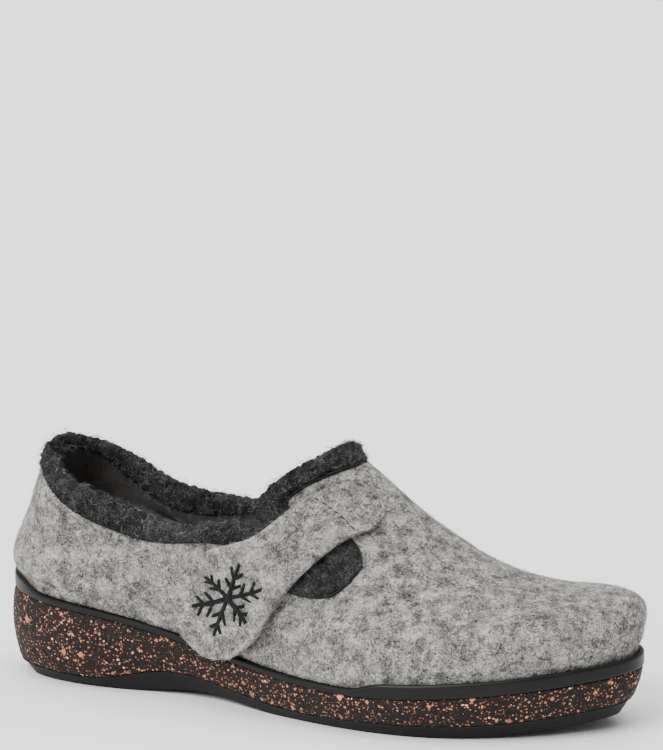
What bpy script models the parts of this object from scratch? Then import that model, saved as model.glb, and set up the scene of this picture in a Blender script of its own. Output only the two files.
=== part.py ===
# House slipper, right shoe: felt upper with an open collar and a notch on the outer side of the
# instep, a wool binding round the whole opening, a closing strap with an embroidered tab, and a
# wedge sole of rubber, cork and a thin rim.
# Lengths are in metres.  +X points to the toe, +Z up and -Y to the outer side of the foot.
# The origin is the middle of the flat spot under the heel.

import bpy
import bmesh
import math
import numpy as np
from mathutils.geometry import tessellate_polygon
from mathutils import Vector

# ---- driving dimensions ----
LENGTH = 0.259            # outer length of the rim
BALL_WIDTH = 0.092        # outer width of the rim at the ball
INSTEP_HEIGHT = 0.100     # floor to the top of the instep, in round figures
REST_TO_HEEL = 0.035      # from the back of the heel to the middle of the heel's flat spot
FELT = 0.003              # thickness of the upper's wool felt
GAP = 0.0003              # clearance between curved pieces
RIM_THICKNESS = 0.0021    # rubber rim between the felt and the cork
RIM_LIP = 0.0004          # how far the rim's edge stands up beside the felt
RIM_STEP = 0.0031         # extra height of that edge at the toe and at the heel
RIM_LEDGE = 0.0018        # width of that edge
TOE_STEP_START = 0.625    # share of the length where the toe step begins
TOE_STEP_FULL = 0.690     # share of the length where it is at full height
HEEL_STEP_START = 0.095   # the same two shares at the heel
HEEL_STEP_FULL = 0.050
CORK_TOP_INSET = 0.0004   # inset of the cork's top edge from the rim's outline
CORK_FOOT_INSET = 0.0041  # inset of the cork's lower edge
TREAD_INSET = 0.0083      # inset of the ground edge of the outsole
HEEL_FLAT_START = 0.058   # flat spots on the floor, as shares of the length
HEEL_FLAT_END = 0.212
BALL_FLAT_START = 0.500
BALL_FLAT_END = 0.715
ARCH_LIFT = 0.0028        # height of the tread above the floor in the arch
TOE_SPRING = 0.0072       # height of the tread above the floor at the toe
HEEL_BEVEL = 0.0028       # height of the tread above the floor at the very back
INSOLE = 0.003            # felt footbed
INSOLE_INSET = 0.0066     # its edge from the rim's outline
BINDING_PROUD = 0.0018    # how far the binding stands out from the felt
BINDING_THICK = 0.0066    # full thickness of the folded binding
STRAP_THICK = 0.003
STRAP_HALF = 0.0132       # half of the strap's width
TAB_HALF = 0.0192         # half of the tab's width
STRAP_LIFT = 0.0023       # clearance under the strap where it crosses the binding
FLAKE_RADIUS = 0.0155     # length of one arm of the embroidered snowflake
FLAKE_LINE = 0.0011       # width of its lines
FLAKE_HIGH = 0.0007       # how far the thread stands up
FLAKE_PLACE = 0.0690      # its middle, measured from the strap's root

AROUND = 104              # samples round the opening
SOLE_AROUND = 96          # samples round the sole

# Outline of the sole seen from above.
# columns: share of LENGTH, outer side, inner side (shares of BALL_WIDTH)
OUTLINE = (
    (0.033, 0.217, 0.217),
    (0.127, 0.348, 0.337),
    (0.309, 0.341, 0.314),
    (0.456, 0.417, 0.355),
    (0.579, 0.492, 0.435),
    (0.695, 0.507, 0.484),
    (0.792, 0.449, 0.467),
    (0.880, 0.335, 0.414),
    (0.954, 0.177, 0.299),
)
AXIS_SHIFT = 0.022        # sideways place of the back and toe points, share of BALL_WIDTH

# Heights along the sole.
# columns: share of LENGTH, top of the rim, lower face of the cork (metres)
WEDGE = (
    (0.000, 0.0375, 0.0052),
    (0.097, 0.0348, 0.0049),
    (0.193, 0.0322, 0.0050),
    (0.290, 0.0278, 0.0098),
    (0.386, 0.0234, 0.0085),
    (0.502, 0.0194, 0.0048),
    (0.637, 0.0175, 0.0048),
    (0.772, 0.0192, 0.0058),
    (0.888, 0.0221, 0.0082),
    (1.000, 0.0260, 0.0122),
)

# Level loops of the upper's outer face, from the rim to the collar's edge.
# columns: level, back and front (shares of LENGTH), width at heel, waist, ball and toe (shares of
# the sole's half width there), height at heel, waist, ball and toe (shares of INSTEP_HEIGHT)
LEVELS = (
    (0.14, 0.0000, 1.0040, 0.990, 0.980, 0.970, 0.980, 0.442, 0.354, 0.321, 0.402),
    (0.34, 0.0135, 0.9725, 0.950, 0.940, 0.870, 0.820, 0.587, 0.481, 0.423, 0.516),
    (0.60, 0.0320, 0.7870, 0.930, 0.900, 0.720, 0.640, 0.695, 0.561, 0.568, 0.562),
    (0.86, 0.0600, 0.5670, 0.850, 0.820, 0.650, 0.600, 0.896, 0.626, 0.678, 0.935),
    (1.00, 0.0680, 0.5440, 0.800, 0.780, 0.680, 0.700, 0.925, 0.750, 0.712, 0.995),
)
STATIONS = (0.0, 0.33, 0.67, 1.0)   # heel, waist, ball and toe, share of the way to the toe
FOOT_WIDTH = (0.918, 0.918, 0.944, 0.930)   # width of the upper at the rim
FOOT_ENDS = (0.0100, 0.9900)        # its back and front at the rim, shares of LENGTH
RIM_LEVEL = 0.05                    # level at the top of the rim's raised edge

# Edge of the felt and free edge of the binding, on the upper's own grid of turn and level.
# columns: turn at the rim, turn halfway, felt edge turn, felt edge level, free edge turn and level
OPENING = (
    (0.000, 0.0000, 0.000, 0.860, 0.0000, 1.000),
    (0.054, 0.0570, 0.060, 0.860, 0.0600, 1.000),
    (0.102, 0.1110, 0.120, 0.860, 0.1200, 1.000),
    (0.142, 0.1620, 0.185, 0.860, 0.1850, 1.000),
    (0.168, 0.1960, 0.240, 0.860, 0.2400, 1.000),
    (0.182, 0.2080, 0.272, 0.853, 0.2800, 0.990),
    (0.192, 0.2160, 0.298, 0.825, 0.3150, 0.965),
    (0.202, 0.2210, 0.315, 0.760, 0.3450, 0.900),
    (0.216, 0.2290, 0.304, 0.650, 0.3600, 0.800),
    (0.234, 0.2400, 0.289, 0.535, 0.3620, 0.720),
    (0.257, 0.2570, 0.282, 0.470, 0.3630, 0.690),
    (0.284, 0.2860, 0.295, 0.450, 0.3650, 0.676),
    (0.310, 0.3160, 0.322, 0.495, 0.3680, 0.682),
    (0.340, 0.3480, 0.360, 0.590, 0.3690, 0.705),
    (0.370, 0.3820, 0.393, 0.665, 0.3690, 0.750),
    (0.398, 0.4220, 0.408, 0.725, 0.3695, 0.800),
    (0.425, 0.4550, 0.404, 0.785, 0.3730, 0.870),
    (0.450, 0.4740, 0.403, 0.832, 0.3820, 0.935),
    (0.466, 0.4800, 0.415, 0.868, 0.4000, 0.985),
    (0.478, 0.4840, 0.442, 0.875, 0.4300, 1.000),
    (0.489, 0.4900, 0.470, 0.860, 0.4650, 1.000),
    (0.500, 0.5000, 0.500, 0.850, 0.5000, 1.000),
    (0.545, 0.5450, 0.545, 0.860, 0.5450, 1.000),
    (0.600, 0.6000, 0.600, 0.860, 0.6000, 1.000),
    (0.660, 0.6600, 0.660, 0.860, 0.6600, 1.000),
    (0.720, 0.7200, 0.720, 0.860, 0.7200, 1.000),
    (0.780, 0.7800, 0.780, 0.860, 0.7800, 1.000),
    (0.840, 0.8400, 0.840, 0.860, 0.8400, 1.000),
    (0.900, 0.9000, 0.900, 0.860, 0.9000, 1.000),
    (0.950, 0.9500, 0.950, 0.860, 0.9500, 1.000),
)
OPENING_SCALE = (0.430, 0.090)      # metres for one whole turn and for one whole level

# Section of the binding.
# columns: share of the way from the felt's edge to the free edge, share of the thickness
BINDING_SECTION = (
    (0.025, 0.20),
    (0.100, 0.06),
    (0.350, 0.00),
    (0.620, 0.02),
    (0.830, 0.12),
    (0.955, 0.30),
    (1.000, 0.50),
    (0.955, 0.70),
    (0.830, 0.88),
    (0.620, 0.98),
    (0.350, 1.00),
    (0.100, 0.94),
    (0.025, 0.80),
)

# Middle line of the strap seen from the outer side.
# columns: share of LENGTH, share of INSTEP_HEIGHT, clearance under it (share of STRAP_LIFT)
STRAP = (
    (0.620, 0.775, 0.05),
    (0.588, 0.758, 0.30),
    (0.552, 0.720, 0.90),
    (0.518, 0.645, 1.00),
    (0.484, 0.566, 1.00),
    (0.446, 0.480, 0.85),
    (0.412, 0.397, 0.45),
    (0.3500, 0.270, 0.30),
)
STRAP_LENGTH = 0.0961     # root to the end of the tab
ROOT_ROUND = 0.010        # length of the rounded root
TAB_START = 0.044         # where the strap begins to widen into the tab
TAB_FULL = 0.070          # where the tab has its full width


def spline_weights(knots, where, period=None):
    """Weights of a natural (or closed) cubic spline: each row gives one sample as a mix of the knots."""
    knots = np.asarray(knots, float)
    where = np.atleast_1d(np.asarray(where, float))
    count = len(knots)
    eye = np.eye(count)
    left = np.zeros((count, count))
    right = np.zeros((count, count))
    if period:
        where = knots[0] + np.mod(where - knots[0], period)
        steps = np.diff(np.append(knots, knots[0] + period))
        rows = range(count)
    else:
        steps = np.diff(knots)
        left[0, 0] = 1.0
        left[-1, -1] = 1.0
        rows = range(1, count - 1)
    for row in rows:
        before = steps[row - 1]
        after = steps[row]
        nxt = (row + 1) % count
        left[row, row - 1] += before
        left[row, row] += 2.0 * (before + after)
        left[row, nxt] += after
        right[row] += 6.0 * ((eye[nxt] - eye[row]) / after - (eye[row] - eye[row - 1]) / before)
    bend = np.linalg.solve(left, right)
    cell = np.clip(np.searchsorted(knots, where, side="right") - 1, 0, len(steps) - 1)
    nxt = (cell + 1) % count
    step = steps[cell][:, None]
    b = (where - knots[cell])[:, None] / step
    a = 1.0 - b
    cubic = ((a ** 3 - a) * bend[cell] + (b ** 3 - b) * bend[nxt]) * step ** 2 / 6.0
    return a * eye[cell] + b * eye[nxt] + cubic


def station_weights(share):
    """Weights of the one cubic that runs through the heel, waist, ball and toe stations."""
    share = np.asarray(share, float)
    knots = np.asarray(STATIONS)
    weights = np.ones(share.shape + (4,))
    for k in range(4):
        for other in range(4):
            if other != k:
                weights[..., k] *= (share - knots[other]) / (knots[k] - knots[other])
    return weights


def outline_knots():
    """Corner points of the sole's outline and their distance along it as a share of one turn."""
    table = np.asarray(OUTLINE)
    shift = AXIS_SHIFT * BALL_WIDTH
    outer = np.column_stack([table[:, 0] * LENGTH, -table[:, 1] * BALL_WIDTH])
    inner = np.column_stack([table[:, 0] * LENGTH, table[:, 2] * BALL_WIDTH])[::-1]
    points = np.vstack([[(0.0, shift)], outer, [(LENGTH, shift)], inner])
    steps = np.linalg.norm(np.diff(np.vstack([points, points[:1]]), axis=0), axis=1)
    turn = np.concatenate([[0.0], np.cumsum(steps)])
    return points, turn[:-1] / turn[-1]


OUTLINE_POINTS, OUTLINE_TURNS = outline_knots()


def outline(turn):
    """Point of the sole's outline at a share of one turn, from the back of the heel over the outer side."""
    return spline_weights(OUTLINE_TURNS, turn, 1.0) @ OUTLINE_POINTS


def inset_outline(turn, inset):
    """The outline moved inwards by a distance, measured square to it."""
    turn = np.asarray(turn, float)
    ahead = outline(turn + 0.001) - outline(turn - 0.001)
    ahead /= np.linalg.norm(ahead, axis=1)[:, None]
    inward = np.column_stack([-ahead[:, 1], ahead[:, 0]])
    return outline(turn) + inward * np.asarray(inset).reshape(-1, 1)


def wedge(x, column):
    """Height of the rim's top (column 1) or of the cork's lower face (column 2) at a length x."""
    table = np.asarray(WEDGE)
    share = np.clip(np.asarray(x) / LENGTH, 0.0, 1.0)
    return spline_weights(table[:, 0], share) @ table[:, column]


def tread(x):
    """Height of the outsole's ground face: level at heel and ball, lifted at the arch and both ends."""
    share = np.asarray(x) / LENGTH
    arch = (share - HEEL_FLAT_END) / (BALL_FLAT_START - HEEL_FLAT_END)
    lift = ARCH_LIFT * np.sin(np.pi * np.clip(arch, 0.0, 1.0)) ** 2
    toe = np.clip((share - BALL_FLAT_END) / (1.0 - BALL_FLAT_END), 0.0, 1.0)
    heel = np.clip((HEEL_FLAT_START - share) / HEEL_FLAT_START, 0.0, 1.0)
    return lift + TOE_SPRING * toe ** 1.8 + HEEL_BEVEL * heel ** 1.8


def level_loops(turn, skirt):
    """All level loops at the given turns; with a skirt the lowest ones clear the rim from outside."""
    flat = outline(turn)
    low = OUTLINE_POINTS[:, 0].min()
    high = OUTLINE_POINTS[:, 0].max()
    share = np.clip((flat[:, 0] - low) / (high - low), 0.0, 1.0)
    mix = station_weights(share)
    foot_x = LENGTH * (FOOT_ENDS[0] + (FOOT_ENDS[1] - FOOT_ENDS[0]) * share)
    foot_y = flat[:, 1] * (mix @ np.asarray(FOOT_WIDTH))
    foot_z = wedge(foot_x, 1) + GAP
    loops = [np.column_stack([foot_x, foot_y, foot_z])]
    if skirt:
        loops[0] = np.column_stack([foot_x, flat[:, 1] * 1.030, foot_z - 0.007])
        loops.append(np.column_stack([foot_x, flat[:, 1] * 1.020, foot_z + 0.002]))
    else:
        loops.append(np.column_stack([foot_x, foot_y * 1.004, foot_z + RIM_LIP + RIM_STEP]))
    for row in LEVELS:
        x = LENGTH * (row[1] + (row[2] - row[1]) * share)
        wide = 0.030 if skirt and row[0] < 0.2 else 0.0
        y = flat[:, 1] * (mix @ np.asarray(row[3:7]) + wide)
        z = INSTEP_HEIGHT * (mix @ np.asarray(row[7:11]))
        loops.append(np.column_stack([x, y, z]))
    return np.array(loops)


LEVEL_KNOTS = np.array([0.0, RIM_LEVEL] + [row[0] for row in LEVELS])


def form(turn, level, skirt=False):
    """Point of the upper's outer face at a turn (0 to 1 round the foot) and a level (0 rim, 1 collar)."""
    shape = np.shape(turn)
    turn = np.ravel(turn)
    mix = spline_weights(LEVEL_KNOTS, np.ravel(level))
    points = np.einsum("nk,knc->nc", mix, level_loops(turn, skirt))
    return points.reshape(shape + (3,))


def form_normal(turn, level, skirt=False):
    """Direction straight out of that face."""
    around = form(turn + 0.002, level, skirt) - form(turn - 0.002, level, skirt)
    upward = form(turn, level + 0.004, skirt) - form(turn, level - 0.004, skirt)
    normal = np.cross(around, upward)
    return normal / np.linalg.norm(normal, axis=-1)[..., None]


def opening(count):
    """The table of the opening at evenly spaced steps along the felt's edge."""
    table = np.asarray(OPENING)
    place = table[:, 2:4] * np.asarray(OPENING_SCALE)
    last = place[:1] + np.array([[OPENING_SCALE[0], 0.0]])
    steps = np.linalg.norm(np.diff(np.vstack([place, last]), axis=0), axis=1)
    way = np.concatenate([[0.0], np.cumsum(steps)])
    where = np.arange(count) / count * way[-1]
    # the turns grow by one whole turn on the way round, so the even part is taken off first
    turns = table[:, [0, 1, 2, 4]] - (way[:-1] / way[-1])[:, None]
    loose = np.column_stack([turns, table[:, 3], table[:, 5]])
    smooth = spline_weights(way[:-1], where, way[-1]) @ loose
    smooth[:, :4] += (where / way[-1])[:, None]
    return {
        "foot": smooth[:, 0],
        "half": smooth[:, 1],
        "felt_turn": smooth[:, 2],
        "edge_turn": smooth[:, 3],
        "felt_level": smooth[:, 4],
        "edge_level": smooth[:, 5],
    }


def felt_grid(edge, share):
    """Turn and level of the upper at a share of the way from the rim to the felt's edge."""
    share = np.asarray(share)[:, None]
    turn = (1.0 - share) ** 2 * edge["foot"]
    turn = turn + 2.0 * share * (1.0 - share) * edge["half"] + share ** 2 * edge["felt_turn"]
    return turn, share * edge["felt_level"]


def placed(points):
    """Moves points from the heel's back to the origin under the heel."""
    return points - np.array([REST_TO_HEEL, 0.0, 0.0])


def make_object(name, points, faces, colour, roughness, angle=35.0):
    """One closed mesh object with its own material."""
    mesh = bpy.data.meshes.new(name)
    mesh.from_pydata([tuple(p) for p in placed(np.asarray(points))], [], faces)
    mesh.validate()
    tidy = bmesh.new()
    tidy.from_mesh(mesh)
    bmesh.ops.recalc_face_normals(tidy, faces=tidy.faces)
    bmesh.ops.triangulate(tidy, faces=tidy.faces)
    if tidy.calc_volume(signed=True) < 0.0:
        bmesh.ops.reverse_faces(tidy, faces=tidy.faces)
    tidy.to_mesh(mesh)
    tidy.free()
    mesh.shade_smooth()
    mesh.set_sharp_from_angle(angle=math.radians(angle))
    material = bpy.data.materials.new(name + "_material")
    material.use_nodes = True
    shader = material.node_tree.nodes["Principled BSDF"]
    shader.inputs["Base Color"].default_value = (*colour, 1.0)
    shader.inputs["Roughness"].default_value = roughness
    mesh.materials.append(material)
    obj = bpy.data.objects.new(name, mesh)
    PARTS.objects.link(obj)
    return obj


def ring_faces(rings, count):
    """Quads between neighbouring closed rings of the same count, as rows of one vertex list."""
    faces = []
    for ring in range(rings - 1):
        low = ring * count
        high = low + count
        for k in range(count):
            nxt = (k + 1) % count
            faces.append((low + k, low + nxt, high + nxt, high + k))
    return faces


def rung_faces(start, count):
    """Closes a ring with rungs from side to side, so that the face keeps its bend along the length."""
    faces = []
    for k in range(count // 2):
        a = start + k
        b = start + k + 1
        c = start + (count - k - 1) % count
        d = start + (count - k) % count
        loop = [a, b, c, d]
        clean = [v for n, v in enumerate(loop) if v not in loop[:n]]
        if len(clean) > 2:
            faces.append(tuple(clean))
    return faces


def stack(name, rings, colour, roughness, angle=35.0):
    """A solid from closed rings, the first and the last one closed with rungs."""
    count = len(rings[0])
    faces = ring_faces(len(rings), count)
    faces += rung_faces(0, count)
    faces += rung_faces((len(rings) - 1) * count, count)
    return make_object(name, np.vstack(rings), faces, colour, roughness, angle)


def ring_at(inset, height):
    """A ring on an inset outline; the height is a function of the length."""
    turn = np.arange(SOLE_AROUND) / SOLE_AROUND
    flat = inset_outline(turn, np.full(SOLE_AROUND, inset))
    return np.column_stack([flat, height(flat[:, 0])])


def smooth_step(value):
    value = np.clip(value, 0.0, 1.0)
    return value * value * (3.0 - 2.0 * value)


def rim_edge(x):
    """Height of the rim's raised edge above its flat top."""
    share = np.asarray(x) / LENGTH
    toe = smooth_step((share - TOE_STEP_START) / (TOE_STEP_FULL - TOE_STEP_START))
    heel = smooth_step((HEEL_STEP_START - share) / (HEEL_STEP_START - HEEL_STEP_FULL))
    return RIM_LIP + RIM_STEP * np.maximum(toe, heel)


def build_sole():
    """Outsole, cork wedge, rim and footbed, from the floor up."""
    stack("outsole", [
        ring_at(TREAD_INSET, tread),
        ring_at(TREAD_INSET - 0.0016, lambda x: tread(x) + 0.0010),
        ring_at(CORK_FOOT_INSET + GAP, lambda x: wedge(x, 2) - GAP),
    ], (0.012, 0.012, 0.013), 0.55)
    stack("midsole", [
        ring_at(CORK_FOOT_INSET, lambda x: wedge(x, 2)),
        ring_at(CORK_TOP_INSET, lambda x: wedge(x, 1) - RIM_THICKNESS - GAP),
    ], (0.090, 0.055, 0.035), 0.8)
    stack("rim", [
        ring_at(0.0, lambda x: wedge(x, 1) - RIM_THICKNESS),
        ring_at(0.0, lambda x: wedge(x, 1) + rim_edge(x)),
        ring_at(RIM_LEDGE, lambda x: wedge(x, 1) + rim_edge(x)),
        ring_at(RIM_LEDGE + 0.0002, lambda x: wedge(x, 1)),
    ], (0.010, 0.010, 0.011), 0.35)
    stack("insole", [
        ring_at(INSOLE_INSET, lambda x: wedge(x, 1) + GAP),
        ring_at(INSOLE_INSET, lambda x: wedge(x, 1) + GAP + INSOLE),
    ], (0.11, 0.105, 0.10), 0.95)


def build_upper(edge):
    """The felt wall, open at the collar, at the notch and underneath."""
    share = np.array([0.0, 0.07, 0.16, 0.28, 0.41, 0.55, 0.70, 0.85, 1.0])
    turn, level = felt_grid(edge, share)
    outer = form(turn, level)
    inner = outer - FELT * form_normal(turn, level)
    # the wall stands on the rim, so its inner foot is brought down level with the outer one
    inner[0, :, 2] = outer[0, :, 2]
    rings = list(outer) + list(inner[::-1])
    count = AROUND
    faces = ring_faces(len(rings), count)
    last = (len(rings) - 1) * count
    for k in range(count):
        nxt = (k + 1) % count
        faces.append((last + k, last + nxt, nxt, k))
    make_object("upper", np.vstack(rings), faces, (0.36, 0.36, 0.35), 0.95, 50.0)


def build_binding(edge):
    """The folded wool binding: one closed roll round the collar and round the notch."""
    rings = []
    for share, depth in BINDING_SECTION:
        turn = edge["felt_turn"] + share * (edge["edge_turn"] - edge["felt_turn"])
        level = edge["felt_level"] + share * (edge["edge_level"] - edge["felt_level"])
        out = BINDING_PROUD - depth * BINDING_THICK
        rings.append(form(turn, level) + out * form_normal(turn, level))
    faces = ring_faces(len(rings), AROUND)
    last = (len(rings) - 1) * AROUND
    for k in range(AROUND):
        nxt = (k + 1) % AROUND
        faces.append((last + k, last + nxt, nxt, k))
    make_object("collar_binding", np.vstack(rings), faces, (0.016, 0.016, 0.018), 0.95, 60.0)


def strap_path(samples):
    """The strap's middle line laid on the form: way from the root, turn, level and clearance."""
    table = np.asarray(STRAP)
    fine = np.linspace(0.0, 1.0, samples)
    rows = spline_weights(np.linspace(0.0, 1.0, len(table)), fine) @ table
    goal = np.column_stack([rows[:, 0] * LENGTH, rows[:, 1] * INSTEP_HEIGHT])
    turn = np.interp(fine, (0.0, 0.35, 1.0), (0.47, 0.40, 0.18))
    level = np.interp(fine, (0.0, 0.35, 1.0), (0.76, 0.74, 0.15))
    for _ in range(30):
        by_turn = (form(turn + 0.002, level, True) - form(turn - 0.002, level, True)) / 0.004
        by_level = (form(turn, level + 0.004, True) - form(turn, level - 0.004, True)) / 0.008
        miss = goal - form(turn, level, True)[:, [0, 2]]
        det = by_turn[:, 0] * by_level[:, 2] - by_turn[:, 2] * by_level[:, 0]
        turn_move = (miss[:, 0] * by_level[:, 2] - miss[:, 1] * by_level[:, 0]) / det
        level_move = (by_turn[:, 0] * miss[:, 1] - by_turn[:, 2] * miss[:, 0]) / det
        turn = turn + 0.6 * np.clip(turn_move, -0.03, 0.03)
        level = level + 0.6 * np.clip(level_move, -0.1, 0.1)
    steps = np.linalg.norm(np.diff(form(turn, level, True), axis=0), axis=1)
    way = np.concatenate([[0.0], np.cumsum(steps)])
    return way, np.column_stack([turn, level, rows[:, 2]])


STRAP_WAY, STRAP_ROWS = strap_path(53)


def strap_line(along):
    """Turn, level and clearance of the strap's middle line at distances from the root."""
    where = np.ravel(along) * STRAP_WAY[-1] / STRAP_LENGTH
    return spline_weights(STRAP_WAY, where) @ STRAP_ROWS


def strap_place(along, across, out):
    """Point of the strap: distances along it and across it, and distance from its inner face."""
    row = strap_line(along)
    before = strap_line(np.clip(np.ravel(along) - 0.004, 0.0, STRAP_LENGTH))
    after = strap_line(np.clip(np.ravel(along) + 0.004, 0.0, STRAP_LENGTH))
    turn = row[:, 0]
    level = row[:, 1]
    ahead = form(after[:, 0], after[:, 1], True) - form(before[:, 0], before[:, 1], True)
    normal = form_normal(turn, level, True)
    side = np.cross(normal, ahead)
    side /= np.linalg.norm(side, axis=1)[:, None]
    start = form(turn, level, True)
    # walk sideways over the form in short moves, each time until its point lies square under the goal
    for move in np.repeat(np.arange(1, 9) / 8.0, 3):
        goal = start + side * (move * np.ravel(across))[:, None]
        by_turn = (form(turn + 0.002, level, True) - form(turn - 0.002, level, True)) / 0.004
        by_level = (form(turn, level + 0.004, True) - form(turn, level - 0.004, True)) / 0.008
        miss = goal - form(turn, level, True)
        aa = (by_turn * by_turn).sum(1)
        bb = (by_level * by_level).sum(1)
        ab = (by_turn * by_level).sum(1)
        pa = (by_turn * miss).sum(1)
        pb = (by_level * miss).sum(1)
        det = aa * bb - ab * ab
        turn = turn + (pa * bb - pb * ab) / det
        level = np.clip(level + (pb * aa - pa * ab) / det, -0.05, 1.05)
    lift = GAP + STRAP_LIFT * row[:, 2] + np.ravel(out)
    place = form(turn, level, True) + lift[:, None] * form_normal(turn, level, True)
    return place.reshape(np.shape(along) + (3,))


def strap_half_width(along):
    """Half width along the strap: round root, even strap, wider round tab."""
    along = np.asarray(along)
    wider = smooth_step((along - TAB_START) / (TAB_FULL - TAB_START))
    body = STRAP_HALF + (TAB_HALF - STRAP_HALF) * wider
    root = np.clip((ROOT_ROUND - along) / ROOT_ROUND, 0.0, 1.0)
    tip = np.clip((along - STRAP_LENGTH + TAB_HALF) / TAB_HALF, 0.0, 1.0)
    return body * np.sqrt(np.clip(1.0 - root ** 2, 0.06, 1.0) * np.clip(1.0 - tip ** 2, 0.03, 1.0))


def sheet_body(name, low, high, colour):
    """A closed body between two grids of points of the same size."""
    rows, cols = low.shape[:2]
    faces = []
    top = rows * cols
    for i in range(rows - 1):
        for j in range(cols - 1):
            k = i * cols + j
            faces.append((k, k + cols, k + cols + 1, k + 1))
            faces.append((top + k, top + k + 1, top + k + cols + 1, top + k + cols))
    border = list(range(cols))
    border += [i * cols + cols - 1 for i in range(1, rows)]
    border += [(rows - 1) * cols + j for j in range(cols - 2, -1, -1)]
    border += [i * cols for i in range(rows - 2, 0, -1)]
    for n, k in enumerate(border):
        nxt = border[(n + 1) % len(border)]
        faces.append((k, nxt, top + nxt, top + k))
    points = np.vstack([low.reshape(-1, 3), high.reshape(-1, 3)])
    return make_object(name, points, faces, colour, 0.95, 50.0)


def build_strap():
    """The felt strap from the instep over the notch to the tab on the outer side."""
    straight_end = STRAP_LENGTH - TAB_HALF
    root = ROOT_ROUND * np.array([0.0, 0.12, 0.35, 0.70])
    body = np.linspace(ROOT_ROUND, straight_end, 20)
    tip = straight_end + TAB_HALF * np.array([0.25, 0.47, 0.66, 0.81, 0.92, 0.98, 1.0])
    a, b = np.meshgrid(np.concatenate([root, body, tip]), np.linspace(-1.0, 1.0, 8), indexing="ij")
    b = b * strap_half_width(a)
    low = strap_place(a, b, np.zeros_like(a))
    high = strap_place(a, b, np.full_like(a, STRAP_THICK))
    sheet_body("strap", low, high, (0.37, 0.37, 0.36))


def flake_outline():
    """Flat outline of the snowflake: six arms, each with two pairs of side branches."""
    half = FLAKE_LINE / 2.0
    lean = math.radians(55.0)
    # one side of an arm: distance along the arm and distance from its middle line
    side = [(half / math.tan(math.radians(30.0)), half)]
    for start, reach in ((0.40, 0.34), (0.68, 0.26)):
        foot = start * FLAKE_RADIUS
        length = reach * FLAKE_RADIUS
        skew = FLAKE_LINE / math.sin(lean)
        rise = length * math.sin(lean)
        run = length * math.cos(lean)
        side.append((foot, half))
        side.append((foot + run * 0.5, half + rise * 0.5))
        side.append((foot + run, half + rise))
        side.append((foot + run + skew * 0.8, half + rise - 0.0002))
        side.append((foot + run * 0.5 + skew, half + rise * 0.5))
        side.append((foot + skew, half))
    side.append((FLAKE_RADIUS, half))
    points = []
    for arm in range(6):
        turn = math.radians(60.0 * arm + 24.0)
        mirrored = [(x, -y) for x, y in side]
        for x, y in mirrored + side[::-1][:-1]:
            points.append((x * math.cos(turn) - y * math.sin(turn), x * math.sin(turn) + y * math.cos(turn)))
    return points


def build_snowflake():
    """The raised thread ornament on the tab."""
    flat = flake_outline()
    count = len(flat)
    cells = tessellate_polygon([[Vector((x, y, 0.0)) for x, y in flat]])
    a = FLAKE_PLACE + np.array([p[0] for p in flat])
    b = np.array([p[1] for p in flat]) + 0.0007
    low = strap_place(a, b, np.full(count, STRAP_THICK + GAP))
    high = strap_place(a, b, np.full(count, STRAP_THICK + GAP + FLAKE_HIGH))
    faces = [tuple(cell) for cell in cells]
    faces += [tuple(k + count for k in cell) for cell in cells]
    for k in range(count):
        nxt = (k + 1) % count
        faces.append((k, nxt, count + nxt, count + k))
    points = np.vstack([low, high])
    make_object("snowflake_embroidery", points, faces, (0.012, 0.012, 0.013), 0.8, 40.0)


PARTS = bpy.data.collections.new("house_slipper")
bpy.context.scene.collection.children.link(PARTS)
for old in list(bpy.data.objects):
    bpy.data.objects.remove(old, do_unlink=True)

EDGE = opening(AROUND)
build_sole()
build_upper(EDGE)
build_binding(EDGE)
build_strap()
build_snowflake()
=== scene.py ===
"""House slipper, right shoe, in heather wool felt: surfaces, fibres, threads and finishes built round
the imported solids.  Lengths are in metres, +X points to the toe, +Z up and -Y to the outer side."""

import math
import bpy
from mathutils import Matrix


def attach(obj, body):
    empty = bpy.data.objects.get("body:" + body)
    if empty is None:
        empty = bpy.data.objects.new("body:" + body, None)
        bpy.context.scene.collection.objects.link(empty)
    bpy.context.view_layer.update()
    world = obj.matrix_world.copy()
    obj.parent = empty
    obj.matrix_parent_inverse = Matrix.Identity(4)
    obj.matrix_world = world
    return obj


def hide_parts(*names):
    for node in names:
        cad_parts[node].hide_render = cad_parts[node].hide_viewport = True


bl_info = {
    "name": "House Slipper",
    "version": (1, 0, 0),
    "blender": (4, 5, 0),
    "location": "3D View > Sidebar > Slipper",
    "description": "Builds a felt house slipper with a wool binding, a strap and a cork wedge sole",
    "category": "Add Mesh",
}

import bmesh
import bpy
import numpy as np
from mathutils import Matrix, Vector

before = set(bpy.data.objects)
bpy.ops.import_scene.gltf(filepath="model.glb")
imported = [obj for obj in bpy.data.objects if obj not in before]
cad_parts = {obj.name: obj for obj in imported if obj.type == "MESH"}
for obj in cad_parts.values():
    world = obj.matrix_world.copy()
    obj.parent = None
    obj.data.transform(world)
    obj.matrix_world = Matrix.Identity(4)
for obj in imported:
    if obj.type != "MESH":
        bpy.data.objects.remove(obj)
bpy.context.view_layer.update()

# ---- driving dimensions ----
LENGTH = 0.259            # outer length of the rim
BALL_WIDTH = 0.092        # outer width of the rim at the ball
INSTEP_HEIGHT = 0.100     # floor to the top of the instep, in round figures
REST_TO_HEEL = 0.035      # from the back of the heel to the middle of the heel's flat spot
FELT = 0.003              # thickness of the upper's wool felt
GAP = 0.0003              # clearance between curved pieces
RIM_THICKNESS = 0.0021    # rubber rim between the felt and the cork
RIM_LIP = 0.0004          # how far the rim's edge stands up beside the felt
RIM_STEP = 0.0031         # extra height of that edge at the toe and at the heel
TOE_STEP_START = 0.625    # share of the length where the toe step begins
TOE_STEP_FULL = 0.690     # share of the length where it is at full height
HEEL_STEP_START = 0.095   # the same two shares at the heel
HEEL_STEP_FULL = 0.050
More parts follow.
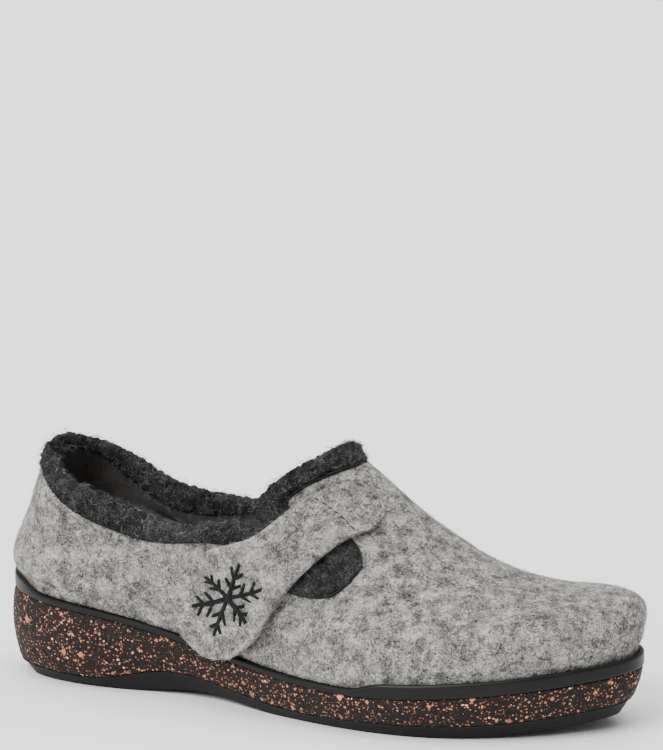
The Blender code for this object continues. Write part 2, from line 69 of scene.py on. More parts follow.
CORK_TOP_INSET = 0.0004   # inset of the cork's top edge from the rim's outline
CORK_FOOT_INSET = 0.0041  # inset of the cork's lower edge
TREAD_INSET = 0.0083      # inset of the ground edge of the outsole
HEEL_FLAT_START = 0.058   # flat spots on the floor, as shares of the length
HEEL_FLAT_END = 0.212
BALL_FLAT_START = 0.500
BALL_FLAT_END = 0.715
ARCH_LIFT = 0.0028        # height of the tread above the floor in the arch
TOE_SPRING = 0.0072       # height of the tread above the floor at the toe
HEEL_BEVEL = 0.0028       # height of the tread above the floor at the very back
BINDING_PROUD = 0.0018    # how far the binding stands out from the felt
BINDING_THICK = 0.0066    # full thickness of the folded binding
STRAP_THICK = 0.003
STRAP_HALF = 0.0132       # half of the strap's width
TAB_HALF = 0.0192         # half of the tab's width
STRAP_LIFT = 0.0023       # clearance under the strap where it crosses the binding
FLAKE_HIGH = 0.0007       # how far the thread stands up
FLAKE_PLACE = 0.0688      # its middle, measured from the strap's root

# Outline of the sole seen from above.
# columns: share of LENGTH, outer side, inner side (shares of BALL_WIDTH)
OUTLINE = (
    (0.033, 0.217, 0.217),
    (0.127, 0.348, 0.337),
    (0.309, 0.341, 0.314),
    (0.456, 0.417, 0.355),
    (0.579, 0.492, 0.435),
    (0.695, 0.507, 0.484),
    (0.792, 0.449, 0.467),
    (0.880, 0.335, 0.414),
    (0.954, 0.177, 0.299),
)
AXIS_SHIFT = 0.022        # sideways place of the back and toe points, share of BALL_WIDTH

# Heights along the sole.
# columns: share of LENGTH, top of the rim, lower face of the cork (metres)
WEDGE = (
    (0.000, 0.0375, 0.0052),
    (0.097, 0.0348, 0.0049),
    (0.193, 0.0322, 0.0050),
    (0.290, 0.0278, 0.0098),
    (0.386, 0.0234, 0.0085),
    (0.502, 0.0194, 0.0048),
    (0.637, 0.0175, 0.0048),
    (0.772, 0.0192, 0.0058),
    (0.888, 0.0221, 0.0082),
    (1.000, 0.0260, 0.0122),
)

# Level loops of the upper's outer face, from the rim to the collar's edge.
# columns: level, back and front (shares of LENGTH), width at heel, waist, ball and toe (shares of
# the sole's half width there), height at heel, waist, ball and toe (shares of INSTEP_HEIGHT)
LEVELS = (
    (0.14, 0.0000, 1.0040, 0.990, 0.980, 0.970, 0.980, 0.442, 0.354, 0.321, 0.402),
    (0.34, 0.0135, 0.9725, 0.950, 0.940, 0.870, 0.820, 0.587, 0.481, 0.423, 0.516),
    (0.60, 0.0320, 0.7870, 0.930, 0.900, 0.720, 0.640, 0.695, 0.561, 0.568, 0.562),
    (0.86, 0.0600, 0.5670, 0.850, 0.820, 0.650, 0.600, 0.896, 0.626, 0.678, 0.935),
    (1.00, 0.0690, 0.5440, 0.800, 0.780, 0.680, 0.700, 0.908, 0.737, 0.712, 0.985),
)
STATIONS = (0.0, 0.33, 0.67, 1.0)   # heel, waist, ball and toe, share of the way to the toe
FOOT_WIDTH = (0.918, 0.918, 0.944, 0.930)   # width of the upper at the rim
FOOT_ENDS = (0.0100, 0.9900)        # its back and front at the rim, shares of LENGTH
RIM_LEVEL = 0.05                    # level at the top of the rim's raised edge

# Edge of the felt and free edge of the binding, on the upper's own grid of turn and level.
# columns: turn at the rim, turn halfway, felt edge turn, felt edge level, free edge turn and level
OPENING = (
    (0.000, 0.0000, 0.000, 0.860, 0.0000, 1.000),
    (0.054, 0.0570, 0.060, 0.860, 0.0600, 1.000),
    (0.102, 0.1110, 0.120, 0.860, 0.1200, 1.000),
    (0.142, 0.1620, 0.185, 0.860, 0.1850, 1.000),
    (0.168, 0.1960, 0.240, 0.860, 0.2400, 1.000),
    (0.182, 0.2080, 0.272, 0.853, 0.2800, 0.990),
    (0.192, 0.2160, 0.298, 0.825, 0.3150, 0.965),
    (0.202, 0.2210, 0.315, 0.760, 0.3450, 0.900),
    (0.216, 0.2290, 0.304, 0.650, 0.3600, 0.800),
    (0.234, 0.2400, 0.289, 0.535, 0.3620, 0.720),
    (0.257, 0.2570, 0.284, 0.482, 0.3630, 0.690),
    (0.284, 0.2860, 0.298, 0.462, 0.3650, 0.676),
    (0.310, 0.3160, 0.327, 0.498, 0.3680, 0.682),
    (0.340, 0.3480, 0.366, 0.584, 0.3690, 0.705),
    (0.370, 0.3820, 0.399, 0.655, 0.3690, 0.750),
    (0.398, 0.4220, 0.413, 0.718, 0.3695, 0.800),
    (0.425, 0.4550, 0.404, 0.785, 0.3730, 0.870),
    (0.450, 0.4740, 0.403, 0.832, 0.3820, 0.935),
    (0.466, 0.4800, 0.415, 0.868, 0.4000, 0.985),
    (0.478, 0.4840, 0.442, 0.875, 0.4300, 1.000),
    (0.489, 0.4900, 0.470, 0.860, 0.4650, 1.000),
    (0.500, 0.5000, 0.500, 0.850, 0.5000, 1.000),
) + tuple((turn, turn, turn, 0.860, turn, 1.000) for turn in (
    0.545, 0.600, 0.660, 0.720, 0.780, 0.840, 0.900, 0.950))
OPENING_SCALE = (0.430, 0.090)      # metres for one whole turn and for one whole level

# Section of the binding.
# columns: share of the way from the felt's edge to the free edge, share of the thickness
BINDING_SECTION = (
    (0.000, 0.32),
    (0.055, 0.15),
    (0.200, 0.04),
    (0.400, 0.00),
    (0.620, 0.04),
    (0.830, 0.16),
    (0.955, 0.33),
    (1.000, 0.50),
    (0.955, 0.70),
    (0.830, 0.87),
    (0.620, 0.97),
    (0.350, 1.00),
    (0.100, 0.94),
    (0.000, 0.78),
)

# Middle line of the strap seen from the outer side.
# columns: share of LENGTH, share of INSTEP_HEIGHT, clearance under it (share of STRAP_LIFT)
STRAP = (
    (0.620, 0.775, 0.05),
    (0.588, 0.758, 0.30),
    (0.552, 0.720, 0.90),
    (0.518, 0.645, 1.00),
    (0.484, 0.566, 1.00),
    (0.446, 0.480, 0.85),
    (0.412, 0.397, 0.45),
    (0.3500, 0.270, 0.30),
)
STRAP_LENGTH = 0.0961     # root to the end of the tab
ROOT_ROUND = 0.010        # length of the rounded root
TAB_START = 0.044         # where the strap begins to widen into the tab
TAB_FULL = 0.070          # where the tab has its full width


def spline_weights(knots, where, period=None):
    """Weights of a natural (or closed) cubic spline: each row gives one sample as a mix of the knots."""
    knots = np.asarray(knots, float)
    where = np.atleast_1d(np.asarray(where, float))
    count = len(knots)
    eye = np.eye(count)
    left = np.zeros((count, count))
    right = np.zeros((count, count))
    if period:
        where = knots[0] + np.mod(where - knots[0], period)
        steps = np.diff(np.append(knots, knots[0] + period))
        rows = range(count)
    else:
        steps = np.diff(knots)
        left[0, 0] = 1.0
        left[-1, -1] = 1.0
        rows = range(1, count - 1)
    for row in rows:
        before = steps[row - 1]
        after = steps[row]
        nxt = (row + 1) % count
        left[row, row - 1] += before
        left[row, row] += 2.0 * (before + after)
        left[row, nxt] += after
        right[row] += 6.0 * ((eye[nxt] - eye[row]) / after - (eye[row] - eye[row - 1]) / before)
    bend = np.linalg.solve(left, right)
    cell = np.clip(np.searchsorted(knots, where, side="right") - 1, 0, len(steps) - 1)
    nxt = (cell + 1) % count
    step = steps[cell][:, None]
    b = (where - knots[cell])[:, None] / step
    a = 1.0 - b
    cubic = ((a ** 3 - a) * bend[cell] + (b ** 3 - b) * bend[nxt]) * step ** 2 / 6.0
    return a * eye[cell] + b * eye[nxt] + cubic


def station_weights(share):
    """Weights of the one cubic that runs through the heel, waist, ball and toe stations."""
    share = np.asarray(share, float)
    knots = np.asarray(STATIONS)
    weights = np.ones(share.shape + (4,))
    for k in range(4):
        for other in range(4):
            if other != k:
                weights[..., k] *= (share - knots[other]) / (knots[k] - knots[other])
    return weights


def outline_knots():
    """Corner points of the sole's outline and their distance along it as a share of one turn."""
    table = np.asarray(OUTLINE)
    shift = AXIS_SHIFT * BALL_WIDTH
    outer = np.column_stack([table[:, 0] * LENGTH, -table[:, 1] * BALL_WIDTH])
    inner = np.column_stack([table[:, 0] * LENGTH, table[:, 2] * BALL_WIDTH])[::-1]
    points = np.vstack([[(0.0, shift)], outer, [(LENGTH, shift)], inner])
    steps = np.linalg.norm(np.diff(np.vstack([points, points[:1]]), axis=0), axis=1)
    turn = np.concatenate([[0.0], np.cumsum(steps)])
    return points, turn[:-1] / turn[-1]


OUTLINE_POINTS, OUTLINE_TURNS = outline_knots()


def outline(turn):
    """Point of the sole's outline at a share of one turn, from the back of the heel over the outer side."""
    return spline_weights(OUTLINE_TURNS, turn, 1.0) @ OUTLINE_POINTS


def inset_outline(turn, inset):
    """The outline moved inwards by a distance, measured square to it."""
    turn = np.asarray(turn, float)
    ahead = outline(turn + 0.001) - outline(turn - 0.001)
    ahead /= np.linalg.norm(ahead, axis=1)[:, None]
    inward = np.column_stack([-ahead[:, 1], ahead[:, 0]])
    return outline(turn) + inward * np.asarray(inset).reshape(-1, 1)


def wedge(x, column):
    """Height of the rim's top (column 1) or of the cork's lower face (column 2) at a length x."""
    table = np.asarray(WEDGE)
    share = np.clip(np.asarray(x) / LENGTH, 0.0, 1.0)
    return spline_weights(table[:, 0], share) @ table[:, column]


def tread(x):
    """Height of the outsole's ground face: level at heel and ball, lifted at the arch and both ends."""
    share = np.asarray(x) / LENGTH
    arch = (share - HEEL_FLAT_END) / (BALL_FLAT_START - HEEL_FLAT_END)
    lift = ARCH_LIFT * np.sin(np.pi * np.clip(arch, 0.0, 1.0)) ** 2
    toe = np.clip((share - BALL_FLAT_END) / (1.0 - BALL_FLAT_END), 0.0, 1.0)
    heel = np.clip((HEEL_FLAT_START - share) / HEEL_FLAT_START, 0.0, 1.0)
    return lift + TOE_SPRING * toe ** 1.8 + HEEL_BEVEL * heel ** 1.8


def level_loops(turn, skirt):
    """All level loops at the given turns; with a skirt the lowest ones clear the rim from outside."""
    flat = outline(turn)
    low = OUTLINE_POINTS[:, 0].min()
    high = OUTLINE_POINTS[:, 0].max()
    share = np.clip((flat[:, 0] - low) / (high - low), 0.0, 1.0)
    mix = station_weights(share)
    foot_x = LENGTH * (FOOT_ENDS[0] + (FOOT_ENDS[1] - FOOT_ENDS[0]) * share)
    foot_y = flat[:, 1] * (mix @ np.asarray(FOOT_WIDTH))
    foot_z = wedge(foot_x, 1) + GAP
    loops = [np.column_stack([foot_x, foot_y, foot_z])]
    if skirt:
        loops[0] = np.column_stack([foot_x, flat[:, 1] * 1.030, foot_z - 0.007])
        loops.append(np.column_stack([foot_x, flat[:, 1] * 1.020, foot_z + 0.002]))
    else:
        loops.append(np.column_stack([foot_x, foot_y * 1.004, foot_z + RIM_LIP + RIM_STEP]))
    for row in LEVELS:
        x = LENGTH * (row[1] + (row[2] - row[1]) * share)
        wide = 0.030 if skirt and row[0] < 0.2 else 0.0
        y = flat[:, 1] * (mix @ np.asarray(row[3:7]) + wide)
        z = INSTEP_HEIGHT * (mix @ np.asarray(row[7:11]))
        loops.append(np.column_stack([x, y, z]))
    return np.array(loops)


LEVEL_KNOTS = np.array([0.0, RIM_LEVEL] + [row[0] for row in LEVELS])


def form(turn, level, skirt=False):
    """Point of the upper's outer face at a turn (0 to 1 round the foot) and a level (0 rim, 1 collar)."""
    shape = np.shape(turn)
    turn = np.ravel(turn)
    mix = spline_weights(LEVEL_KNOTS, np.ravel(level))
    points = np.einsum("nk,knc->nc", mix, level_loops(turn, skirt))
    return points.reshape(shape + (3,))


def form_normal(turn, level, skirt=False):
    """Direction straight out of that face."""
    around = form(turn + 0.002, level, skirt) - form(turn - 0.002, level, skirt)
    upward = form(turn, level + 0.004, skirt) - form(turn, level - 0.004, skirt)
    normal = np.cross(around, upward)
    return normal / np.linalg.norm(normal, axis=-1)[..., None]


def opening(count):
    """The table of the opening at evenly spaced steps along the felt's edge."""
    table = np.asarray(OPENING)
    place = table[:, 2:4] * np.asarray(OPENING_SCALE)
    last = place[:1] + np.array([[OPENING_SCALE[0], 0.0]])
    steps = np.linalg.norm(np.diff(np.vstack([place, last]), axis=0), axis=1)
    way = np.concatenate([[0.0], np.cumsum(steps)])
    where = np.arange(count) / count * way[-1]
    # the turns grow by one whole turn on the way round, so the even part is taken off first
    turns = table[:, [0, 1, 2, 4]] - (way[:-1] / way[-1])[:, None]
    loose = np.column_stack([turns, table[:, 3], table[:, 5]])
    smooth = spline_weights(way[:-1], where, way[-1]) @ loose
    smooth[:, :4] += (where / way[-1])[:, None]
    return {
        "foot": smooth[:, 0],
        "half": smooth[:, 1],
        "felt_turn": smooth[:, 2],
        "edge_turn": smooth[:, 3],
        "felt_level": smooth[:, 4],
        "edge_level": smooth[:, 5],
    }


def felt_grid(edge, share):
    """Turn and level of the upper at a share of the way from the rim to the felt's edge."""
    share = np.asarray(share)[:, None]
    turn = (1.0 - share) ** 2 * edge["foot"]
    turn = turn + 2.0 * share * (1.0 - share) * edge["half"] + share ** 2 * edge["felt_turn"]
    return turn, share * edge["felt_level"]


def placed(points):
    """Moves points from the heel's back to the origin under the heel."""
    return points - np.array([REST_TO_HEEL, 0.0, 0.0])


def smooth_step(value):
    value = np.clip(value, 0.0, 1.0)
    return value * value * (3.0 - 2.0 * value)


def rim_edge(x):
    """Height of the rim's raised edge above its flat top."""
    share = np.asarray(x) / LENGTH
    toe = smooth_step((share - TOE_STEP_START) / (TOE_STEP_FULL - TOE_STEP_START))
    heel = smooth_step((HEEL_STEP_START - share) / (HEEL_STEP_START - HEEL_STEP_FULL))
    return RIM_LIP + RIM_STEP * np.maximum(toe, heel)


def strap_path(samples):
    """The strap's middle line laid on the form: way from the root, turn, level and clearance."""
    table = np.asarray(STRAP)
    fine = np.linspace(0.0, 1.0, samples)
    rows = spline_weights(np.linspace(0.0, 1.0, len(table)), fine) @ table
    goal = np.column_stack([rows[:, 0] * LENGTH, rows[:, 1] * INSTEP_HEIGHT])
    turn = np.interp(fine, (0.0, 0.35, 1.0), (0.47, 0.40, 0.18))
    level = np.interp(fine, (0.0, 0.35, 1.0), (0.76, 0.74, 0.15))
    for _ in range(30):
        by_turn = (form(turn + 0.002, level, True) - form(turn - 0.002, level, True)) / 0.004
        by_level = (form(turn, level + 0.004, True) - form(turn, level - 0.004, True)) / 0.008
        miss = goal - form(turn, level, True)[:, [0, 2]]
        det = by_turn[:, 0] * by_level[:, 2] - by_turn[:, 2] * by_level[:, 0]
        turn_move = (miss[:, 0] * by_level[:, 2] - miss[:, 1] * by_level[:, 0]) / det
        level_move = (by_turn[:, 0] * miss[:, 1] - by_turn[:, 2] * miss[:, 0]) / det
        turn = turn + 0.6 * np.clip(turn_move, -0.03, 0.03)
        level = level + 0.6 * np.clip(level_move, -0.1, 0.1)
    steps = np.linalg.norm(np.diff(form(turn, level, True), axis=0), axis=1)
    way = np.concatenate([[0.0], np.cumsum(steps)])
    return way, np.column_stack([turn, level, rows[:, 2]])


STRAP_WAY, STRAP_ROWS = strap_path(53)


def strap_line(along):
    """Turn, level and clearance of the strap's middle line at distances from the root."""
    where = np.ravel(along) * STRAP_WAY[-1] / STRAP_LENGTH
    return spline_weights(STRAP_WAY, where) @ STRAP_ROWS


def strap_place(along, across, out):
    """Point of the strap: distances along it and across it, and distance from its inner face."""
    row = strap_line(along)
    before = strap_line(np.clip(np.ravel(along) - 0.004, 0.0, STRAP_LENGTH))
    after = strap_line(np.clip(np.ravel(along) + 0.004, 0.0, STRAP_LENGTH))
    turn = row[:, 0]
    level = row[:, 1]
    ahead = form(after[:, 0], after[:, 1], True) - form(before[:, 0], before[:, 1], True)
    normal = form_normal(turn, level, True)
    side = np.cross(normal, ahead)
    side /= np.linalg.norm(side, axis=1)[:, None]
    start = form(turn, level, True)
    # walk sideways over the form in short moves, each time until its point lies square under the goal
    for move in np.repeat(np.arange(1, 9) / 8.0, 3):
        goal = start + side * (move * np.ravel(across))[:, None]
        by_turn = (form(turn + 0.002, level, True) - form(turn - 0.002, level, True)) / 0.004
        by_level = (form(turn, level + 0.004, True) - form(turn, level - 0.004, True)) / 0.008
        miss = goal - form(turn, level, True)
        aa = (by_turn * by_turn).sum(1)
        bb = (by_level * by_level).sum(1)
        ab = (by_turn * by_level).sum(1)
        pa = (by_turn * miss).sum(1)
        pb = (by_level * miss).sum(1)
        det = aa * bb - ab * ab
        turn = turn + (pa * bb - pb * ab) / det
        level = np.clip(level + (pb * aa - pa * ab) / det, -0.05, 1.05)
    lift = GAP + STRAP_LIFT * row[:, 2] + np.ravel(out)
    place = form(turn, level, True) + lift[:, None] * form_normal(turn, level, True)
    return place.reshape(np.shape(along) + (3,))


def strap_half_width(along):
    """Half width along the strap: round root, even strap, wider round tab."""
    along = np.asarray(along)
    wider = smooth_step((along - TAB_START) / (TAB_FULL - TAB_START))
    body = STRAP_HALF + (TAB_HALF - STRAP_HALF) * wider
    root = np.clip((ROOT_ROUND - along) / ROOT_ROUND, 0.0, 1.0)
    tip = np.clip((along - STRAP_LENGTH + TAB_HALF) / TAB_HALF, 0.0, 1.0)
    return body * np.sqrt(np.clip(1.0 - root ** 2, 0.06, 1.0) * np.clip(1.0 - tip ** 2, 0.03, 1.0))


# ---- helpers for arrays, meshes and materials ----

def linear(code):
    """Linear colour from an sRGB hex code: each channel over 0.04045 is ((c + 0.055) / 1.055) ^ 2.4."""
    channels = [int(code[k:k + 2], 16) / 255.0 for k in (0, 2, 4)]
    return tuple(c / 12.92 if c <= 0.04045 else ((c + 0.055) / 1.055) ** 2.4 for c in channels)


def unit(vectors):
    """Vectors divided by their own length."""
    return vectors / np.maximum(np.linalg.norm(vectors, axis=-1), 1e-12)[..., None]


def cell_value(cells, seed):
    """A fixed value from 0 to 1 for each whole-number cell: its three numbers multiplied and scrambled."""
    mixed = cells[..., 0] * 374761393 + cells[..., 1] * 668265263 + cells[..., 2] * 1103515245
    mixed = (mixed + seed * 97531) & 0x7FFFFFFF
    mixed = ((mixed ^ (mixed >> 13)) * 1274126177) & 0x7FFFFFFF
    return ((mixed ^ (mixed >> 16)) & 0xFFFF) / 65535.0


def noise(points, size, seed=0):
    """Smooth noise from -1 to 1: cell values at the corners of a cube of the given size, blended."""
    scaled = points / size
    base = np.floor(scaled).astype(np.int64)
    part = scaled - base
    part = part * part * (3.0 - 2.0 * part)
    total = np.zeros(points.shape[:-1])
    for corner in range(8):
        step = np.array([corner & 1, corner >> 1 & 1, corner >> 2 & 1])
        weight = np.prod(np.where(step, part, 1.0 - part), axis=-1)
        total += weight * cell_value(base + step, seed)
    return 2.0 * total - 1.0


def grid_faces(rows, cols, wrap_rows=False, wrap_cols=False, start=0):
    """Quads of a grid of points stored row after row; a wrapped direction joins its ends."""
    i = np.arange(rows if wrap_rows else rows - 1)[:, None]
    j = np.arange(cols if wrap_cols else cols - 1)[None, :]
    i2 = (i + 1) % rows
    j2 = (j + 1) % cols
    corners = [i * cols + j, i * cols + j2, i2 * cols + j2, i2 * cols + j]
    return start + np.stack([np.broadcast_to(c, (i.size, j.size)) for c in corners], -1).reshape(-1, 4)


def grid_normals(grid, wrap_rows=False, wrap_cols=False):
    """Normals of a grid of points: the cross product of the steps along its columns and its rows."""
    def steps(axis, wrap):
        if wrap:
            return np.roll(grid, -1, axis) - np.roll(grid, 1, axis)
        return np.gradient(grid, axis=axis)
    return unit(np.cross(steps(1, wrap_cols), steps(0, wrap_rows)))


def signed_volume(points, faces):
    """Sum of the cones from the origin over a fan of each face: positive if the faces look outwards."""
    total = 0.0
    for k in range(1, faces.shape[1] - 1):
        a, b, c = points[faces[:, 0]], points[faces[:, k]], points[faces[:, k + 1]]
        total += np.einsum("nc,nc->", a, np.cross(b, c)) / 6.0
    return total


WELD_REACH = 1e-6         # points nearer than this become one


def weld(mesh):
    """Joins the points that lie on each other, so that seams and poles are closed."""
    work = bmesh.new()
    work.from_mesh(mesh)
    bmesh.ops.remove_doubles(work, verts=work.verts, dist=WELD_REACH)
    work.to_mesh(mesh)
    work.free()


def make_piece(name, points, face_sets, materials, replaced=(), shades=None, zones=None):
    """One mesh object at the origin: points in the part's frame, a list of face arrays, its finishes,
    an optional value per point (tone) and an optional material per face."""
    mesh = bpy.data.meshes.new(name)
    loops = np.concatenate([f.ravel() for f in face_sets]).astype(np.int32)
    sizes = np.concatenate([np.full(len(f), f.shape[1]) for f in face_sets])
    starts = np.concatenate([[0], np.cumsum(sizes)[:-1]]).astype(np.int32)
    mesh.vertices.add(len(points))
    mesh.vertices.foreach_set("co", np.asarray(points, np.float32).ravel())
    mesh.loops.add(len(loops))
    mesh.loops.foreach_set("vertex_index", loops)
    mesh.polygons.add(len(sizes))
    mesh.polygons.foreach_set("loop_start", starts)
    if zones is not None:
        mesh.polygons.foreach_set("material_index", np.asarray(zones, np.int32))
    mesh.update(calc_edges=True)
    if shades is None:
        weld(mesh)
    else:
        tone = mesh.attributes.new("tone", "FLOAT", "POINT")
        tone.data.foreach_set("value", np.asarray(shades, np.float32))
    mesh.shade_smooth()
    for material in materials:
        mesh.materials.append(material)
    piece = bpy.data.objects.new(name, mesh)
    bpy.context.scene.collection.objects.link(piece)
    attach(piece, "root")
    if replaced:
        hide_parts(*replaced)
    return piece


def outward(points, faces):
    """The faces, turned round if together they look inwards."""
    return faces if signed_volume(points, faces) > 0.0 else faces[:, ::-1]


def scatter(grid, count, rng, wrap_rows=False, wrap_cols=False):
    """Random places on a grid surface, even by area, and the surface's normal there."""
    faces = grid_faces(grid.shape[0], grid.shape[1], wrap_rows, wrap_cols)
    flat = grid.reshape(-1, 3)
    normals = grid_normals(grid, wrap_rows, wrap_cols).reshape(-1, 3)
    corners = flat[faces]
    area = np.linalg.norm(np.cross(corners[:, 2] - corners[:, 0], corners[:, 3] - corners[:, 1]), axis=1)
    picked = rng.choice(len(faces), count, p=area / area.sum())
    u, v = rng.random((2, count))
    mix = np.stack([(1 - u) * (1 - v), u * (1 - v), u * v, (1 - u) * v], -1)[..., None]
    return (flat[faces[picked]] * mix).sum(1), unit((normals[faces[picked]] * mix).sum(1))


def hairs(roots, normals, rng, length, lift, curl, radius, rings):
    """Tapering three-sided hairs.  Each leaves its root at a random heading, climbs by lift and sinks
    back, and its heading turns by curl on the way; every ring is a triangle, the last one a point."""
    count = len(roots)
    helper = np.where(np.abs(normals[:, 2:3]) < 0.9, [[0.0, 0.0, 1.0]], [[1.0, 0.0, 0.0]])
    first = unit(np.cross(normals, helper))
    second = np.cross(normals, first)
    share = np.arange(rings) / rings
    heading = rng.uniform(0.0, 2.0 * np.pi, count)[:, None]
    bend = rng.uniform(0.4, 1.0, count) * rng.choice([-1.0, 1.0], count) * curl
    heading = heading + bend[:, None] * share
    climb = rng.uniform(lift[0], lift[1], count)[:, None] * (1.0 - 1.5 * share)
    step = np.cos(heading)[..., None] * first[:, None] + np.sin(heading)[..., None] * second[:, None]
    step = unit(step + climb[..., None] * normals[:, None])
    long = rng.uniform(length[0], length[1], count)[:, None, None] / rings
    path = np.concatenate([roots[:, None], roots[:, None] + np.cumsum(step * long, axis=1)], axis=1)
    side = unit(np.cross(normals[:, None], step))
    top = np.cross(step, side)
    thick = radius * (1.0 - 0.5 * share)[None, :, None]
    angles = (0.5 * np.pi, 7.0 * np.pi / 6.0, 11.0 * np.pi / 6.0)
    ring = [path[:, :rings] + thick * (math.cos(a) * side + math.sin(a) * top) for a in angles]
    points = np.concatenate([np.stack(ring, 2).reshape(count, -1, 3), path[:, -1:]], axis=1)
    each = 3 * rings + 1
    quads = grid_faces(rings, 3, wrap_cols=True)
    last = 3 * (rings - 1)
    tip = each - 1
    tips = np.array([[last, last + 1, tip], [last + 1, last + 2, tip], [last + 2, last, tip]])
    base = (np.arange(count) * each)[:, None, None]
    faces = [(base + quads).reshape(-1, 4), (base + tips).reshape(-1, 3)]
    return points.reshape(-1, 3), faces, each


HAIR_SUNK = 0.0001        # depth of a hair's root under the surface


def add_hairs(name, roots, normals, rng, shape, tones, material):
    """One piece of hairs, each with a tone drawn from a beta curve.  The shape is the range of lengths,
    the range of lifts, the curl, the radius and the number of rings."""
    points, sets, each = hairs(roots - HAIR_SUNK * normals, normals, rng, *shape)
    tone = np.repeat(rng.beta(*tones, len(roots)), each)
    make_piece(name, points, sets, [material], shades=tone)


THREAD_SIDES = 6          # corners of a thread's section
STITCH_RINGS = 7          # sections along one stitch


def stitch_faces(count):
    """Faces of stitches stored one after the other: the sides, and a cap at both ends of each."""
    size = STITCH_RINGS * THREAD_SIDES
    ring = np.arange(THREAD_SIDES)
    base = (np.arange(count) * size)[:, None, None]
    quads = grid_faces(STITCH_RINGS, THREAD_SIDES, wrap_cols=True)
    caps = np.array([ring[::-1], ring + size - THREAD_SIDES])
    return [(base + quads).reshape(-1, 4), (base + caps).reshape(-1, THREAD_SIDES)]


def tube(path, radius, sides, closed=False):
    """A round tube along a path: a ring of the given number of sides square to the path at each point.
    The path closes on itself, or else its two ends are left for caps."""
    ahead = unit(np.roll(path, -1, 0) - np.roll(path, 1, 0) if closed else np.gradient(path, axis=0))
    helper = np.where(np.abs(ahead[:, 2:3]) < 0.95, [[0.0, 0.0, 1.0]], [[1.0, 0.0, 0.0]])
    side = unit(np.cross(helper, ahead))
    top = np.cross(ahead, side)
    angle = np.arange(sides) / sides * 2.0 * np.pi
    thick = np.broadcast_to(np.asarray(radius, float).reshape(-1, 1, 1), (len(path), 1, 1))
    ring = np.cos(angle)[:, None] * side[:, None] + np.sin(angle)[:, None] * top[:, None]
    return path[:, None] + thick * ring


def add_node(tree, kind, sockets=None, **settings):
    """Adds a shader node, sets its properties and its input sockets, and links those given as outputs."""
    node = tree.nodes.new(kind)
    for name, value in settings.items():
        setattr(node, name, value)
    for name, value in (sockets or {}).items():
        if isinstance(value, bpy.types.NodeSocket):
            tree.links.new(value, node.inputs[name])
        else:
            node.inputs[name].default_value = value
    return node


def ramp(tree, factor, stops):
    """A colour ramp from (place, colour) stops."""
    node = add_node(tree, "ShaderNodeValToRGB", {"Fac": factor})
    points = node.color_ramp.elements
    while len(points) < len(stops):
        points.new(0.5)
    for point, (place, colour) in zip(points, stops):
        point.position = place
        point.color = (*colour, 1.0)
    return node.outputs["Color"]


def mixed(tree, factor, first, second):
    """Two colours mixed by a factor."""
    return add_node(tree, "ShaderNodeMix", {0: factor, 6: first, 7: second}, data_type="RGBA").outputs[2]


def maths(tree, kind, first, second=0.0, third=0.0, clamp=False):
    """One sum on two or three values."""
    node = add_node(tree, "ShaderNodeMath", {0: first, 1: second, 2: third}, operation=kind, use_clamp=clamp)
    return node.outputs[0]


def noise_value(tree, where, size, detail=2.0, rough=0.5, distortion=0.0):
    """Blender's noise with features of the given size in metres."""
    sockets = {"Vector": where, "Scale": 1.0 / size, "Detail": detail, "Roughness": rough}
    sockets["Distortion"] = distortion
    return add_node(tree, "ShaderNodeTexNoise", sockets).outputs["Fac"]


def bare_material(name):
    """A material with a Principled shader; returns it with its node tree, shader and Object coordinates."""
    material = bpy.data.materials.new(name)
    material.use_nodes = True
    tree = material.node_tree
    where = add_node(tree, "ShaderNodeTexCoord").outputs["Object"]
    return material, tree, tree.nodes["Principled BSDF"], where


def bump(tree, shader, height, distance, strength=1.0):
    """Links a height to the shader's normal as a bump of the given depth in metres."""
    node = add_node(tree, "ShaderNodeBump", {"Height": height, "Distance": distance, "Strength": strength})
    tree.links.new(node.outputs["Normal"], shader.inputs["Normal"])


# ---- sizes and colours that a user may change ----

def length_property(name, description, usual, low, high):
    """A length in metres."""
    return bpy.props.FloatProperty(
        name=name, description=description, default=usual, min=low, max=high, unit="LENGTH")


def colour_property(name, description, code):
    """A colour property whose default is an sRGB hex code."""
    return bpy.props.FloatVectorProperty(
        name=name, description=description, default=linear(code), min=0.0, max=1.0, subtype="COLOR")


class SlipperSizes(bpy.types.PropertyGroup):
    """Sizes of the surface detail."""

    crease_depth: length_property(
        "Crease depth", "Depth of the soft flex creases in the felt", 0.0011, 0.0, 0.003)
    felt_swell: length_property(
        "Felt swell", "Height of the felt's soft unevenness", 0.00045, 0.0, 0.002)
    fibre_count: bpy.props.IntProperty(
        name="Felt fibres", description="Number of loose fibres on the felt upper", default=20000, min=0)
    fibre_length: length_property(
        "Fibre length", "Length of the longest loose fibre on the felt", 0.0026, 0.0002, 0.008)
    curl_count: bpy.props.IntProperty(
        name="Wool curls", description="Number of curled fibres on the binding", default=7000, min=0)
    curl_height: length_property(
        "Curl height", "Relief of the boiled wool of the binding", 0.00065, 0.0, 0.002)
    thread_radius: length_property(
        "Thread radius", "Radius of the embroidery thread", 0.00019, 0.00005, 0.0005)
    stitch_pitch: length_property(
        "Stitch pitch", "Distance from one strap stitch to the next", 0.0027, 0.0005, 0.01)
    groove_depth: length_property(
        "Tread depth", "Depth of the grooves in the outsole", 0.0014, 0.0, 0.003)


